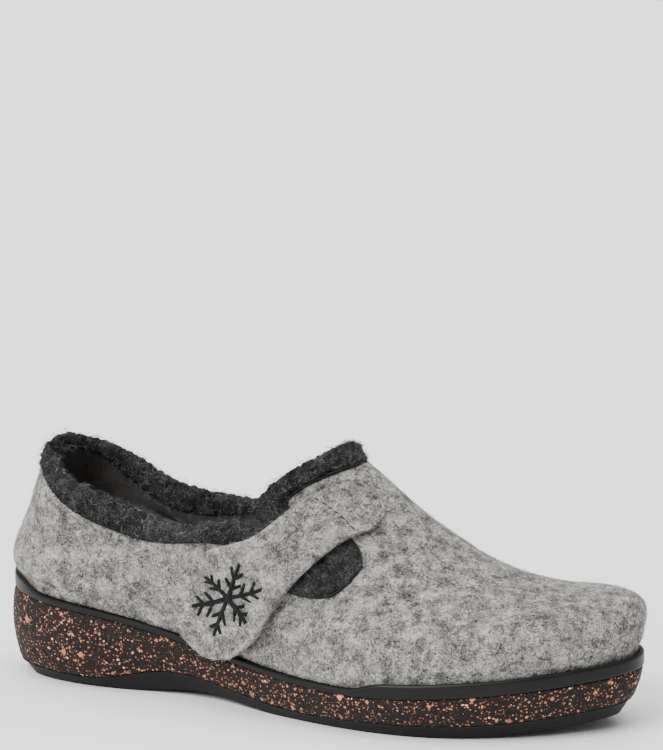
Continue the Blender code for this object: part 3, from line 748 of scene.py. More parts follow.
class SlipperColours(bpy.types.PropertyGroup):
    """Colours of the finishes."""

    felt_dark: colour_property("Felt, dark fibres", "Darkest wool in the heather felt", "2b2927")
    felt_mid: colour_property("Felt, middle", "Middle tone of the heather felt", "82807b")
    felt_light: colour_property("Felt, light fibres", "Lightest wool in the heather felt", "dbd8d2")
    lining: colour_property("Lining", "Grey-brown felt inside the shoe", "4a4743")
    binding: colour_property("Binding", "Charcoal boiled wool", "151516")
    # binding_curl is the lighter fibres of the wool, and also the painted highlight on the tops of the
    # binding's curls
    binding_curl: colour_property("Binding curls", "Lighter fibres on the binding", "969698")
    thread: colour_property("Embroidery thread", "Black thread of the snowflake", "08080a")
    cork_base: colour_property("Cork rubber", "Dark rubber between the cork grains", "0d0908")
    cork_grain: colour_property("Cork grains", "Copper cork grains", "b47657")
    cork_pale: colour_property("Pale cork grains", "Palest cork grains", "e6bd9e")
    rubber: colour_property("Rubber", "Black rubber of the rim and the outsole", "060607")


# ---- finishes ----

def heather_felt(name, dark, middle, light):
    """Felted wool, carded from dark and light fleece and milled: soft patches 3 to 5 mm across, flecks
    of 1 mm and fine crossing fibres, in warm greys.  Its bump and sheen give the eye a fuzzy surface."""
    material, tree, shader, where = bare_material(name)
    patches = noise_value(tree, where, 0.0055, 3.0, 0.6)
    flecks = noise_value(tree, where, 0.0016, 3.0, 0.75, 1.6)
    # real fibres are 0.03 mm thick; they are drawn coarser so that they still show
    strands = noise_value(tree, where, 0.00050, 3.0, 0.8, 3.0)
    tone = maths(tree, "MULTIPLY", patches, 0.30)
    tone = maths(tree, "MULTIPLY_ADD", flecks, 0.50, tone)
    tone = maths(tree, "MULTIPLY_ADD", strands, 0.45, tone)
    colour = ramp(tree, tone, [(0.535, dark), (0.625, middle), (0.715, light)])
    tree.links.new(colour, shader.inputs["Base Color"])
    height = maths(tree, "MULTIPLY_ADD", flecks, 0.6, strands)
    bump(tree, shader, height, 0.0009, 0.9)
    shader.inputs["Roughness"].default_value = 0.95
    shader.inputs["Specular IOR Level"].default_value = 0.15
    shader.inputs["Sheen Weight"].default_value = 0.08
    shader.inputs["Sheen Roughness"].default_value = 0.6
    return material


def fibre_wool(name, dark, light):
    """Single wool fibres: each keeps one tone between a dark and a light fleece, which gives the felt
    its salt and pepper look."""
    material, tree, shader, _ = bare_material(name)
    tone = add_node(tree, "ShaderNodeAttribute", attribute_name="tone").outputs["Fac"]
    colour = ramp(tree, tone, [(0.0, dark), (1.0, light)])
    tree.links.new(colour, shader.inputs["Base Color"])
    shader.inputs["Roughness"].default_value = 0.8
    shader.inputs["Specular IOR Level"].default_value = 0.25
    shader.inputs["Sheen Weight"].default_value = 0.08
    return material


def boiled_wool(name, base, light):
    """Boiled wool, knitted and shrunk: nearly black, with curls of 1 mm.  Its colour follows the curls'
    height: shade painted between them, and a lighter top that is partly the wool's lighter fibres and partly
    a painted highlight."""
    material, tree, shader, where = bare_material(name)
    curls = noise_value(tree, where, 0.0011, 3.0, 0.75, 3.0)
    patches = noise_value(tree, where, 0.006, 2.0, 0.5)
    strands = noise_value(tree, where, 0.0005, 2.0, 0.7, 4.0)
    tone = maths(tree, "MULTIPLY_ADD", curls, 0.55, maths(tree, "MULTIPLY", strands, 0.35))
    tone = maths(tree, "MULTIPLY_ADD", patches, 0.2, tone)
    # the ramp paints shade into the curls' hollows (its darkest stop) and a highlight on their tops
    middle = tuple(0.86 * b + 0.14 * c for b, c in zip(base, light))
    painted_hollow_shade = tuple(0.3 * b for b in base)
    colour = ramp(tree, tone, [(0.46, painted_hollow_shade), (0.53, base), (0.60, middle), (0.68, light)])
    tree.links.new(colour, shader.inputs["Base Color"])
    bump(tree, shader, maths(tree, "ADD", curls, strands), 0.0012, 1.0)
    shader.inputs["Roughness"].default_value = 0.95
    shader.inputs["Specular IOR Level"].default_value = 0.12
    shader.inputs["Sheen Weight"].default_value = 0.03
    shader.inputs["Sheen Roughness"].default_value = 0.55
    return material


def satin_thread(name, colour):
    """Polyester embroidery thread, twisted and dyed black: a soft silky gloss along each stitch."""
    material, tree, shader, where = bare_material(name)
    twist = noise_value(tree, where, 0.0004, 2.0, 0.6)
    lighter = tuple(min(1.0, 2.6 * c + 0.004) for c in colour)
    tree.links.new(ramp(tree, twist, [(0.35, colour), (0.75, lighter)]), shader.inputs["Base Color"])
    bump(tree, shader, twist, 0.0001, 0.6)
    shader.inputs["Roughness"].default_value = 0.6
    shader.inputs["Specular IOR Level"].default_value = 0.2
    return material


def grain_layer(tree, where, size, filled, reach, measure):
    """Grains of one size: a Voronoi cell holds one if its own value is under the filled share, and the
    grain ends at its own share of the cell.  Returns the mask and the cell's colour value."""
    sockets = {"Vector": where, "Scale": 1.0 / size, "Randomness": 1.0}
    cells = add_node(tree, "ShaderNodeTexVoronoi", sockets, distance=measure)
    parts = add_node(tree, "ShaderNodeSeparateColor", {"Color": cells.outputs["Color"]})
    held = maths(tree, "LESS_THAN", parts.outputs[0], filled)
    radius = maths(tree, "MULTIPLY_ADD", parts.outputs[1], reach, 0.55 * reach)
    inside = maths(tree, "SUBTRACT", radius, cells.outputs["Distance"])
    edge = maths(tree, "MULTIPLY", inside, 14.0, clamp=True)
    return maths(tree, "MULTIPLY", held, edge), parts.outputs[2]


# Grains of the cork: cell size in metres, share of the cells that hold one, reach in the cell and
# how it is measured (Manhattan distance gives chips with straight sides)
CORK_GRAINS = (
    (0.0009, 0.44, 0.30, "EUCLIDEAN"),
    (0.0017, 0.36, 0.36, "MANHATTAN"),
    (0.0038, 0.27, 0.37, "MANHATTAN"),
)


def cork_rubber(name, base, grain, pale):
    """Cork granules pressed in dark rubber and cut to shape: copper and tan chips from 0.4 to 3 mm, their
    outlines broken, in a dull brown-black ground, with small pits where a chip has gone."""
    material, tree, shader, where = bare_material(name)
    warp = add_node(tree, "ShaderNodeTexNoise", {"Vector": where, "Scale": 1.0 / 0.0007, "Detail": 2.0})
    shift = add_node(tree, "ShaderNodeVectorMath", {0: warp.outputs["Color"], 1: (0.5, 0.5, 0.5)},
                     operation="SUBTRACT").outputs[0]
    shift = add_node(tree, "ShaderNodeVectorMath", {0: shift, "Scale": 0.0011}, operation="SCALE").outputs[0]
    broken = add_node(tree, "ShaderNodeVectorMath", {0: where, 1: shift}, operation="ADD").outputs[0]
    ground = noise_value(tree, where, 0.0007, 3.0, 0.7)
    dark = tuple(0.45 * c for c in base)
    warm = tuple(0.85 * b + 0.15 * g for b, g in zip(base, grain))
    colour = ramp(tree, ground, [(0.35, dark), (0.55, base), (0.72, warm)])
    rust = tuple(0.45 * c for c in grain)
    masks = []
    for size, filled, reach, measure in CORK_GRAINS:
        mask, kind = grain_layer(tree, broken, size, filled, reach, measure)
        chip = ramp(tree, kind, [(0.0, rust), (0.35, grain), (0.8, grain), (1.0, pale)])
        colour = mixed(tree, mask, colour, chip)
        masks.append(mask)
    tree.links.new(colour, shader.inputs["Base Color"])
    raised = maths(tree, "MAXIMUM", masks[1], masks[2])
    bump(tree, shader, maths(tree, "MULTIPLY_ADD", raised, 0.5, ground), 0.0003, 0.6)
    shader.inputs["Roughness"].default_value = 0.78
    shader.inputs["Specular IOR Level"].default_value = 0.3
    return material


def black_rubber(name, colour, roughness, grain):
    """Moulded black rubber: a satin skin with a fine even grain, duller and greyer where it has been
    handled, so that the edges catch a soft light."""
    material, tree, shader, where = bare_material(name)
    wear = noise_value(tree, where, 0.012, 4.0, 0.6)
    fine = noise_value(tree, where, grain, 2.0, 0.6)
    dusty = tuple(c + 0.004 for c in colour)
    tree.links.new(ramp(tree, wear, [(0.40, colour), (0.75, dusty)]), shader.inputs["Base Color"])
    rough = maths(tree, "MULTIPLY_ADD", wear, 0.25, roughness - 0.12)
    tree.links.new(rough, shader.inputs["Roughness"])
    bump(tree, shader, fine, 0.00008, 0.5)
    shader.inputs["Specular IOR Level"].default_value = 0.22
    return material


def paint(colours, which):
    """The finishes by name, each made once."""
    known = bpy.data.materials.get(which)
    if known:
        return known

    def shades(*names):
        return [tuple(getattr(colours, name)) for name in names]

    def times(factor, name):
        return tuple(factor * c for c in getattr(colours, name))

    makers = {
        "heather_wool_felt": lambda: heather_felt(which, *shades("felt_dark", "felt_mid", "felt_light")),
        "loose_felt_fibre": lambda: fibre_wool(which, *shades("felt_dark", "felt_light")),
        "lining_felt": lambda: heather_felt(
            which, times(0.5, "lining"), times(1.0, "lining"), times(1.5, "lining")),
        "curly_boiled_wool": lambda: boiled_wool(which, *shades("binding", "binding_curl")),
        "curled_wool_fibre": lambda: fibre_wool(which, *shades("binding", "binding_curl")),
        "embroidery_thread": lambda: satin_thread(which, *shades("thread")),
        "grey_sewing_thread": lambda: satin_thread(which, times(0.30, "felt_dark")),
        "cork_grain_rubber": lambda: cork_rubber(which, *shades("cork_base", "cork_grain", "cork_pale")),
        "satin_rim_rubber": lambda: black_rubber(which, *shades("rubber"), 0.42, 0.0006),
        "moulded_sole_rubber": lambda: black_rubber(which, *shades("rubber"), 0.58, 0.0009),
    }
    return makers[which]()


# ---- felt upper ----

# Soft flex creases laid on the upper.
# columns: turn and level of the start, the middle and the end, depth (minus for a ridge, as a share
# of the crease depth), half width in metres
CREASES = (
    (0.445, 0.600, 0.425, 0.470, 0.392, 0.340, 0.75, 0.0065),
    (0.470, 0.600, 0.455, 0.450, 0.440, 0.260, -0.40, 0.0080),
    (0.440, 0.420, 0.480, 0.400, 0.520, 0.430, 0.45, 0.0085),
    (0.545, 0.600, 0.575, 0.470, 0.600, 0.320, 0.70, 0.0070),
    (0.520, 0.560, 0.540, 0.380, 0.545, 0.220, -0.40, 0.0090),
    (0.060, 0.700, 0.085, 0.520, 0.105, 0.330, 0.45, 0.0090),
    (0.150, 0.520, 0.150, 0.360, 0.160, 0.200, -0.35, 0.0090),
    (0.960, 0.720, 0.950, 0.500, 0.935, 0.300, 0.45, 0.0085),
    (0.850, 0.500, 0.830, 0.350, 0.820, 0.200, -0.35, 0.0100),
    (0.700, 0.640, 0.690, 0.450, 0.670, 0.280, 0.55, 0.0090),
    (0.330, 0.340, 0.350, 0.250, 0.370, 0.180, 0.35, 0.0080),
)
UPPER_AROUND = 480        # points round the felt wall
UPPER_ROWS = 74           # rows of its outer face, from the rim to the opening
LINING_ROWS = 26          # rows of its inner face
PUFF = 0.0014             # bulge of the felt over the rubber rim
FLAT_TOE = 0.0010         # how much the front of the toe is drawn in
FELT_HAIR = 0.000052      # radius of a loose felt fibre
FELT_TONES = (0.7, 0.6)   # beta curve of their tones: mostly very dark or very light


# Unevenness of the felt wall, of the strap and of the binding's roll.
# columns: share or height in metres, size in metres, seed
FELT_SWELLS = ((0.7, 0.017, 3), (0.45, 0.0065, 4), (0.22, 0.0022, 5))
STRAP_SWELLS = ((0.00016, 0.007, 41), (0.00008, 0.0022, 42))
ROLL_SWELLS = ((0.55, 0.0045, 21), (0.8, 0.0019, 22))


def swells(points, layers):
    """Sum of layers of noise, each with its own height, size and seed."""
    return sum(high * noise(points, size, seed) for high, size, seed in layers)


def crease_depth(points):
    """Sum over the creases of depth times a bell curve of the distance to the crease's middle line,
    drawn thin towards both ends."""
    total = np.zeros(points.shape[:-1])
    way = np.linspace(0.0, 1.0, 9)
    for row in CREASES:
        turn = spline_weights((0.0, 0.5, 1.0), way) @ np.array(row[0:6:2])
        level = spline_weights((0.0, 0.5, 1.0), way) @ np.array(row[1:6:2])
        line = placed(form(turn, level))
        fade = np.sin(np.pi * np.clip(way * 0.84 + 0.08, 0.0, 1.0))
        best = np.zeros(points.shape[:-1])
        for start, end, strong in zip(line[:-1], line[1:], fade[:-1]):
            span = end - start
            along = np.clip(((points - start) @ span) / (span @ span), 0.0, 1.0)
            apart = np.linalg.norm(points - start - along[..., None] * span, axis=-1)
            best = np.maximum(best, strong * np.exp(-(apart / row[7]) ** 2))
        total += row[6] * best
    return total


def felt_relief(points, sizes, level):
    """Height of the felt over the plain form: soft swells of three sizes, less the creases, a bulge over
    the rubber rim and a flatter front of the toe."""
    swell = swells(points, FELT_SWELLS)
    calm = smooth_step(level / 0.10)
    step = (rim_edge(points[..., 0] + REST_TO_HEEL) - RIM_LIP) / RIM_STEP
    puff = PUFF * np.exp(-((level - 0.045 - 0.045 * step) / 0.035) ** 2) * (1.0 - 0.45 * step)
    front = smooth_step((points[..., 0] - 0.205) / 0.018) * np.exp(-((level - 0.28) / 0.16) ** 2)
    puff = puff - FLAT_TOE * front
    return puff + calm * (sizes.felt_swell * (swell - 0.3) - sizes.crease_depth * crease_depth(points))


class SLIPPER_OT_felt_upper(bpy.types.Operator):
    """Builds the one-piece felt wall, outside and lining, on the upper's own form"""
    bl_idname = "slipper.felt_upper"
    bl_label = "Felt Upper"

    def execute(self, context):
        sizes = context.scene.slipper_sizes
        edge = opening(UPPER_AROUND)
        share = np.concatenate([[0.0, 0.004, 0.010], np.linspace(0.02, 1.0, UPPER_ROWS - 3)])
        turn, level = felt_grid(edge, share)
        points = placed(form(turn, level))
        normal = form_normal(turn, level)
        height = felt_relief(points, sizes, level)
        outer = points + height[..., None] * normal
        picks = np.unique(np.linspace(0, UPPER_ROWS - 1, LINING_ROWS).astype(int))
        inner = (outer - FELT * normal)[picks]
        inner[0, :, 2] = outer[0, :, 2]
        rings = np.concatenate([outer, inner[::-1]])
        flat = rings.reshape(-1, 3)
        faces = outward(flat, grid_faces(len(rings), UPPER_AROUND, wrap_rows=True, wrap_cols=True))
        zones = (np.arange(len(faces)) // UPPER_AROUND >= UPPER_ROWS).astype(np.int32)
        colours = context.scene.slipper_colours
        finishes = [paint(colours, "heather_wool_felt"), paint(colours, "lining_felt")]
        make_piece("felt_upper", flat, [faces], finishes, ("upper",), zones=zones)
        # loose fibres stand all over the outside, under the binding excepted
        rng = np.random.default_rng(11)
        roots, normals = scatter(outer[:-3], sizes.fibre_count, rng, wrap_cols=True)
        shape = ((0.0009, sizes.fibre_length), (0.10, 0.85), 2.2, FELT_HAIR, 2)
        add_hairs("felt_fibres", roots, normals, rng, shape, FELT_TONES, paint(colours, "loose_felt_fibre"))
        return {"FINISHED"}


# ---- binding ----

BINDING_AROUND = 1080     # points round the opening
BINDING_ROWS = 58         # points round the roll's section
CURL_SIZE = 0.0012        # width of the wool's finest ridges
CURL_HAIR = 0.000060      # radius of a curled fibre
CURL_TONES = (0.8, 2.0)   # beta curve of their tones: mostly dark
SEAM_AROUND = 900         # points along the binding's seam
SEAM_RADIUS = 0.00045     # radius of the seam's thread
SEAM_SHARE = 0.004        # its place, share of the way from the felt's edge to the free edge


def binding_turn_level(edge, share):
    """Turn and level at a share of the way from the felt's edge to the binding's free edge."""
    turn = edge["felt_turn"] + share * (edge["edge_turn"] - edge["felt_turn"])
    return turn, edge["felt_level"] + share * (edge["edge_level"] - edge["felt_level"])


def binding_surface(samples, rows):
    """The folded binding: the section's closed spline carried round the opening."""
    edge = opening(samples)
    table = np.asarray(BINDING_SECTION)
    where = np.arange(rows) / rows
    section = spline_weights(np.arange(len(table)) / len(table), where, 1.0) @ table
    rings = []
    for share, depth in section:
        turn, level = binding_turn_level(edge, share)
        out = BINDING_PROUD - depth * BINDING_THICK
        rings.append(form(turn, level) + out * form_normal(turn, level))
    return placed(np.array(rings))


# Places where the roll is fuller or flatter.
# columns: middle (x, y, z), reach, and the move at the middle (x, y, z), all in metres
ROLL_MOVES = (
    (0.100, -0.008, 0.0940, 0.013, -0.0004, 0.0, 0.0018),
    (0.066, 0.029, 0.0735, 0.015, 0.0, 0.0, -0.0036),
    (-0.019, 0.001, 0.0925, 0.013, 0.0016, 0.0, -0.0004),
)


def flap_roll(points):
    """Moves points near each place by a bell curve of their distance to it."""
    for row in ROLL_MOVES:
        near = np.exp(-(np.linalg.norm(points - np.array(row[:3]), axis=-1) / row[3]) ** 2)
        points = points + near[..., None] * np.array(row[4:])
    return points


class SLIPPER_OT_binding(bpy.types.Operator):
    """Builds the boiled-wool binding round the collar and the notch, with its curls and its seam"""
    bl_idname = "slipper.binding"
    bl_label = "Wool Binding"

    def execute(self, context):
        sizes = context.scene.slipper_sizes
        colours = context.scene.slipper_colours
        grid = flap_roll(binding_surface(BINDING_AROUND, BINDING_ROWS))
        normal = grid_normals(grid, True, True)
        if signed_volume(grid.reshape(-1, 3), grid_faces(*grid.shape[:2], True, True)) < 0.0:
            normal = -normal
        curls = swells(grid, ROLL_SWELLS) + 0.8 * (1.0 - 2.0 * np.abs(noise(grid, CURL_SIZE, 23)))
        wool = grid + (sizes.curl_height * (curls - 0.45))[..., None] * normal
        flat = wool.reshape(-1, 3)
        faces = outward(flat, grid_faces(BINDING_ROWS, BINDING_AROUND, True, True))
        make_piece("wool_binding", flat, [faces], [paint(colours, "curly_boiled_wool")],
                   ("collar_binding",))
        rng = np.random.default_rng(29)
        roots, normals = scatter(wool, sizes.curl_count, rng, True, True)
        out = np.sign(np.einsum("nc,nc->n", normals, unit(roots - grid_middle(grid, roots))))
        normals = normals * np.where(out == 0.0, 1.0, out)[:, None]
        shape = ((0.0025, 0.0062), (0.25, 0.9), 7.0, CURL_HAIR, 6)
        add_hairs("binding_curls", roots, normals, rng, shape, CURL_TONES,
                  paint(colours, "curled_wool_fibre"))
        self.seam(colours)
        return {"FINISHED"}

    def seam(self, colours):
        """The thread that holds the binding, once on the felt's outer face and once on its inner face."""
        turn, level = binding_turn_level(opening(SEAM_AROUND), SEAM_SHARE)
        rings = []
        for out in (0.0002, -FELT - 0.0002):
            path = placed(form(turn, level) + out * form_normal(turn, level))
            rings.append(tube(path, SEAM_RADIUS, THREAD_SIDES, closed=True).reshape(-1, 3))
        quads = outward(rings[0], grid_faces(SEAM_AROUND, THREAD_SIDES, True, True))
        make_piece("binding_seam", np.concatenate(rings), [quads, quads + len(rings[0])],
                   [paint(colours, "embroidery_thread")])


def grid_middle(grid, points):
    """The middle of the section nearest to each point, found from coarse section middles."""
    middles = grid.mean(0)[::6]
    apart = ((points[:, None] - middles[None]) ** 2).sum(-1)
    return middles[apart.argmin(1)]


# ---- strap and snowflake ----

STRAP_RUNS = 210           # points along the strap
STRAP_CROSS = 64           # points across it
STRAP_HAIRS = 4200         # loose fibres on it
EDGE_ROUND = 2.4           # exponent of its rounded cut edge: 2 is a half circle, more is flatter
STITCH_RADIUS = 0.00020    # thickest place of a seam stitch
STITCH_RISE = 0.00032      # how far it bows up
ROOT_SEAM = 0.0168         # distance of the straight seam from the strap's root
SEAM_DEPTH = 0.0007        # depth of the groove that it draws into the felt
SEAM_WIDTH = 0.0010        # half width of that groove
ROOT_THINNED = 0.0008      # how much thinner the strap is at its root
SEAM_SLANT = 0.472         # how much the seam leans over the strap's width
# Outline of the strap's lower side: distances from the root, and the share of the plain half width
SIDE_PLACES = (0.0, 0.012, 0.020, 0.028, 0.036, 0.050, 0.060, 0.070, 0.100)
SIDE_SHARES = (0.66, 0.70, 0.82, 0.90, 0.95, 1.02, 1.12, 1.04, 1.00)


def strap_border(along, across):
    """Distance from a point of the strap to its cut edge."""
    body = strap_half_width(along) - np.abs(across)
    tip = TAB_HALF - np.hypot(np.maximum(along - STRAP_LENGTH + TAB_HALF, 0.0), across)
    return np.clip(np.where(along > STRAP_LENGTH - TAB_HALF, np.minimum(body, tip), body), 0.0, 1.0)


def strap_relief(along, across, points):
    """Height of the strap's top: soft swells, drawn down at its seam and thinned towards the root."""
    apart = along - ROOT_SEAM + SEAM_SLANT * across
    sunk = SEAM_DEPTH * np.exp(-(apart / SEAM_WIDTH) ** 2)
    thinner = ROOT_THINNED * smooth_step((ROOT_SEAM - along) / 0.012)
    return swells(points, STRAP_SWELLS) - sunk - thinner


def strap_sides(along, across):
    """The strap's own outline: nearer to its middle line along the collar and at the root's lower side,
    fuller where the tab begins, the tab's end a little towards the heel."""
    upper = 0.90 + 0.10 * smooth_step((along - 0.046) / 0.02)
    lower = np.interp(along, SIDE_PLACES, SIDE_SHARES)
    shift = 0.0016 * smooth_step((along - 0.068) / 0.02)
    return across * np.where(across < 0.0, upper, lower) - shift


class SLIPPER_OT_strap(bpy.types.Operator):
    """Builds the felt strap with its rounded cut edge, its seam, its stitches and its fibres"""
    bl_idname = "slipper.strap"
    bl_label = "Strap"

    def execute(self, context):
        sizes = context.scene.slipper_sizes
        colours = context.scene.slipper_colours
        ends = 0.5 - 0.5 * np.cos(np.linspace(0.0, np.pi, STRAP_RUNS))
        even = np.linspace(0.0, 1.0, STRAP_RUNS)
        along = STRAP_LENGTH * (0.35 * even + 0.65 * ends)
        cross = np.sin(np.linspace(-0.5 * np.pi, 0.5 * np.pi, STRAP_CROSS))
        cross = 0.6 * cross + 0.4 * np.linspace(-1.0, 1.0, STRAP_CROSS)
        a, b = np.meshgrid(along, cross, indexing="ij")
        tip = np.clip((STRAP_LENGTH + 0.0004 - a) / 0.004, 0.02, 1.0) ** 0.25
        b = b * strap_half_width(a) * tip
        half = STRAP_THICK / 2.0
        apart = np.clip(strap_border(a, b) / half, 0.0, 1.0)
        b = strap_sides(a, b)
        bulge = half * (1.0 - (1.0 - apart) ** EDGE_ROUND) ** (1.0 / EDGE_ROUND)
        middle = strap_place(a, b, np.full_like(a, half))
        relief = strap_relief(a, b, middle) * smooth_step(apart)
        top = placed(strap_place(a, b, half + bulge + relief))
        low = placed(strap_place(a, b, half - bulge))
        points = np.concatenate([top.reshape(-1, 3), low.reshape(-1, 3)])
        count = STRAP_RUNS * STRAP_CROSS
        sheet = grid_faces(STRAP_RUNS, STRAP_CROSS)
        index = np.arange(count).reshape(STRAP_RUNS, STRAP_CROSS)
        border = np.concatenate([index[0, :-1], index[:-1, -1], index[-1, :0:-1], index[:0:-1, 0]])
        after = np.roll(border, -1)
        wall = np.stack([border, border + count, after + count, after], -1)
        faces = outward(points, np.concatenate([sheet, sheet[:, ::-1] + count, wall]))
        make_piece("felt_strap", points, [faces], [paint(colours, "heather_wool_felt")],
                   ("strap",))
        rng = np.random.default_rng(43)
        roots, normals = scatter(top, STRAP_HAIRS, rng)
        out = np.sign(np.einsum("nc,nc->n", normals, roots - np.array([0.06, 0.0, 0.03])))
        normals = normals * out[:, None]
        shape = ((0.0008, sizes.fibre_length), (0.08, 0.7), 2.2, FELT_HAIR, 2)
        add_hairs("strap_fibres", roots, normals, rng, shape, FELT_TONES, paint(colours, "loose_felt_fibre"))
        self.stitches(sizes, colours)
        return {"FINISHED"}

    def stitches(self, sizes, colours):
        """A row of stitches across the strap at its root: each dips at both ends."""
        reach = np.linspace(-0.0108, 0.0078, 200)
        line = np.column_stack([ROOT_SEAM - SEAM_SLANT * reach, reach])
        share = np.linspace(0.0, 1.0, STITCH_RINGS)
        way = np.concatenate([[0.0], np.cumsum(np.linalg.norm(np.diff(line, axis=0), axis=1))])
        count = max(2, int(way[-1] / sizes.stitch_pitch))
        starts = (np.arange(count) + 0.12) * way[-1] / count
        where = starts[:, None] + share * 0.88 * way[-1] / count
        a = np.interp(where, way, line[:, 0])
        b = np.interp(where, way, line[:, 1])
        sink = strap_relief(a, b, strap_place(a, b, np.full_like(a, STRAP_THICK)))
        out = STRAP_THICK + sink + STITCH_RISE * np.sin(np.pi * share) - 0.00012
        thick = STITCH_RADIUS * np.sin(np.pi * (0.15 + 0.7 * share))
        rings = np.array([tube(path, thick, THREAD_SIDES) for path in placed(strap_place(a, b, out))])
        make_piece("strap_stitches", rings.reshape(-1, 3), stitch_faces(count),
                   [paint(colours, "grey_sewing_thread")])


# Arms of the snowflake as the needle laid them: direction in degrees and length in metres
FLAKE_ARMS = (
    (27.5, 0.0142), (99.5, 0.0134), (160.0, 0.0170), (208.0, 0.0143), (272.8, 0.0146), (335.0, 0.0176),
)
FLAKE_TWIGS = ((0.40, 0.34), (0.70, 0.26))   # start and length of the side branches, shares of the arm
ARM_WIDTHS = (0.00100, 0.00055)              # half width of an arm at its foot and at its tip
TWIG_WIDTHS = (0.00072, 0.00040)             # the same of a branch
TWIG_LEAN = math.radians(50.0)               # angle between a branch and its arm
SATIN_PITCH = 0.00027                        # distance from one satin stitch to the next
SATIN_SLANT = 0.45                           # how much the stitches lean along the line
FLAKE_SIDE = 0.0007                          # place of the snowflake's middle across the tab


def flake_lines():
    """Lines of the snowflake on the tab: start and end along and across, half width at both ends."""
    lines = []
    for angle, radius in FLAKE_ARMS:
        turn = math.radians(angle)
        ahead = np.array([math.cos(turn), math.sin(turn)])
        sideways = np.array([-math.sin(turn), math.cos(turn)])
        lines.append((np.zeros(2), radius * ahead, *ARM_WIDTHS))
        for start, reach in FLAKE_TWIGS:
            for side in (-1.0, 1.0):
                foot = start * radius * ahead
                away = math.cos(TWIG_LEAN) * ahead + side * math.sin(TWIG_LEAN) * sideways
                lines.append((foot, foot + reach * radius * away, *TWIG_WIDTHS))
    return lines


class SLIPPER_OT_snowflake(bpy.types.Operator):
    """Builds the snowflake of satin stitches on the tab, every stitch a bowed thread"""
    bl_idname = "slipper.snowflake"
    bl_label = "Embroidered Snowflake"

    def execute(self, context):
        sizes = context.scene.slipper_sizes
        colours = context.scene.slipper_colours
        rng = np.random.default_rng(57)
        share = np.linspace(-1.0, 1.0, STITCH_RINGS)
        rings = []
        for start, end, wide, narrow in flake_lines():
            length = np.linalg.norm(end - start)
            ahead = (end - start) / length
            slant = np.array([-ahead[1], ahead[0]]) + SATIN_SLANT * ahead
            count = int(length / SATIN_PITCH)
            where = (np.arange(count) + 0.5) / count
            half = (wide + (narrow - wide) * where) * rng.uniform(0.9, 1.12, count)
            flat = start + where[:, None, None] * (end - start) + (half[:, None] * share)[..., None] * slant
            a = FLAKE_PLACE + flat[..., 0]
            b = FLAKE_SIDE + flat[..., 1]
            fuller = 0.62 + 0.5 * half[:, None] / 0.00085
            high = STRAP_THICK - 0.0001 + FLAKE_HIGH * (1.0 - share ** 4) * fuller
            paths = placed(strap_place(a, b, np.broadcast_to(high, a.shape)))
            rings += [tube(path, sizes.thread_radius, THREAD_SIDES) for path in paths]
        make_piece("snowflake_stitches", np.array(rings).reshape(-1, 3), stitch_faces(len(rings)),
                   [paint(colours, "embroidery_thread")], ("snowflake_embroidery",))
        return {"FINISHED"}


# ---- sole ----

SOLE_FINE = 720           # points round the sole
SOLE_TURNS = np.arange(SOLE_FINE) / SOLE_FINE
CORK_BULGE = 0.0007       # how far the cork's side stands out halfway up
CORK_ROUND = 0.0006       # how far its two edges are drawn in
CORK_GRAIN_RELIEF = 0.00012   # roughness of the cut cork
CORK_PIT = 0.00035        # depth where a chip has gone
HEEL_OUT = 0.0024         # how far the sole stands out further at the back of the heel
HEEL_OUT_REACH = 0.034    # length over which that fades out
TREAD_ROWS = 66           # rows of points across the tread
BED_AROUND = 360          # points round the footbed
BED_ROWS = 44             # rows of points across it
GROOVE_PITCH = 0.0072     # distance from one tread groove to the next
GROOVE_WAVE = 0.0016      # how far a groove swings to and fro
GROOVE_SWING = 0.017      # length of one swing


def heel_out(turn):
    """How far the sole stands out further than the plain inset, all at the back of the heel."""
    return HEEL_OUT * smooth_step((HEEL_OUT_REACH - outline(turn)[:, 0]) / HEEL_OUT_REACH)


def sole_ring(turn, inset, height):
    """Points of an inset outline at the given turns; the height is a function of the length."""
    flat = inset_outline(turn, np.broadcast_to(inset, turn.shape))
    return np.column_stack([flat, height(flat[:, 0])])


def plate_rows(ring, rows):
    """Rows of points from one side of a closed ring to the other: each point of the outer half and its
    partner on the inner half, blended evenly."""
    half = len(ring) // 2
    partner = ring[(-np.arange(half + 1)) % len(ring)]
    share = np.linspace(0.0, 1.0, rows)[:, None, None]
    return (1.0 - share) * ring[None, :half + 1] + share * partner[None]


def rungs_across(count):
    """Faces that close a ring of points: quads from side to side, and a triangle at both ends."""
    half = count // 2
    k = np.arange(1, half - 1)
    rungs = np.stack([k, k + 1, count - k - 1, count - k], -1)
    return rungs, np.array([[0, 1, count - 1], [half, half + 1, half - 1]])


def facing(points, faces, probe, up):
    """The faces, turned round if the one picked as probe doesn't look up (or down)."""
    a, b, c = points[faces[probe, :3]]
    return faces if (np.cross(b - a, c - a)[2] > 0.0) == up else faces[:, ::-1]


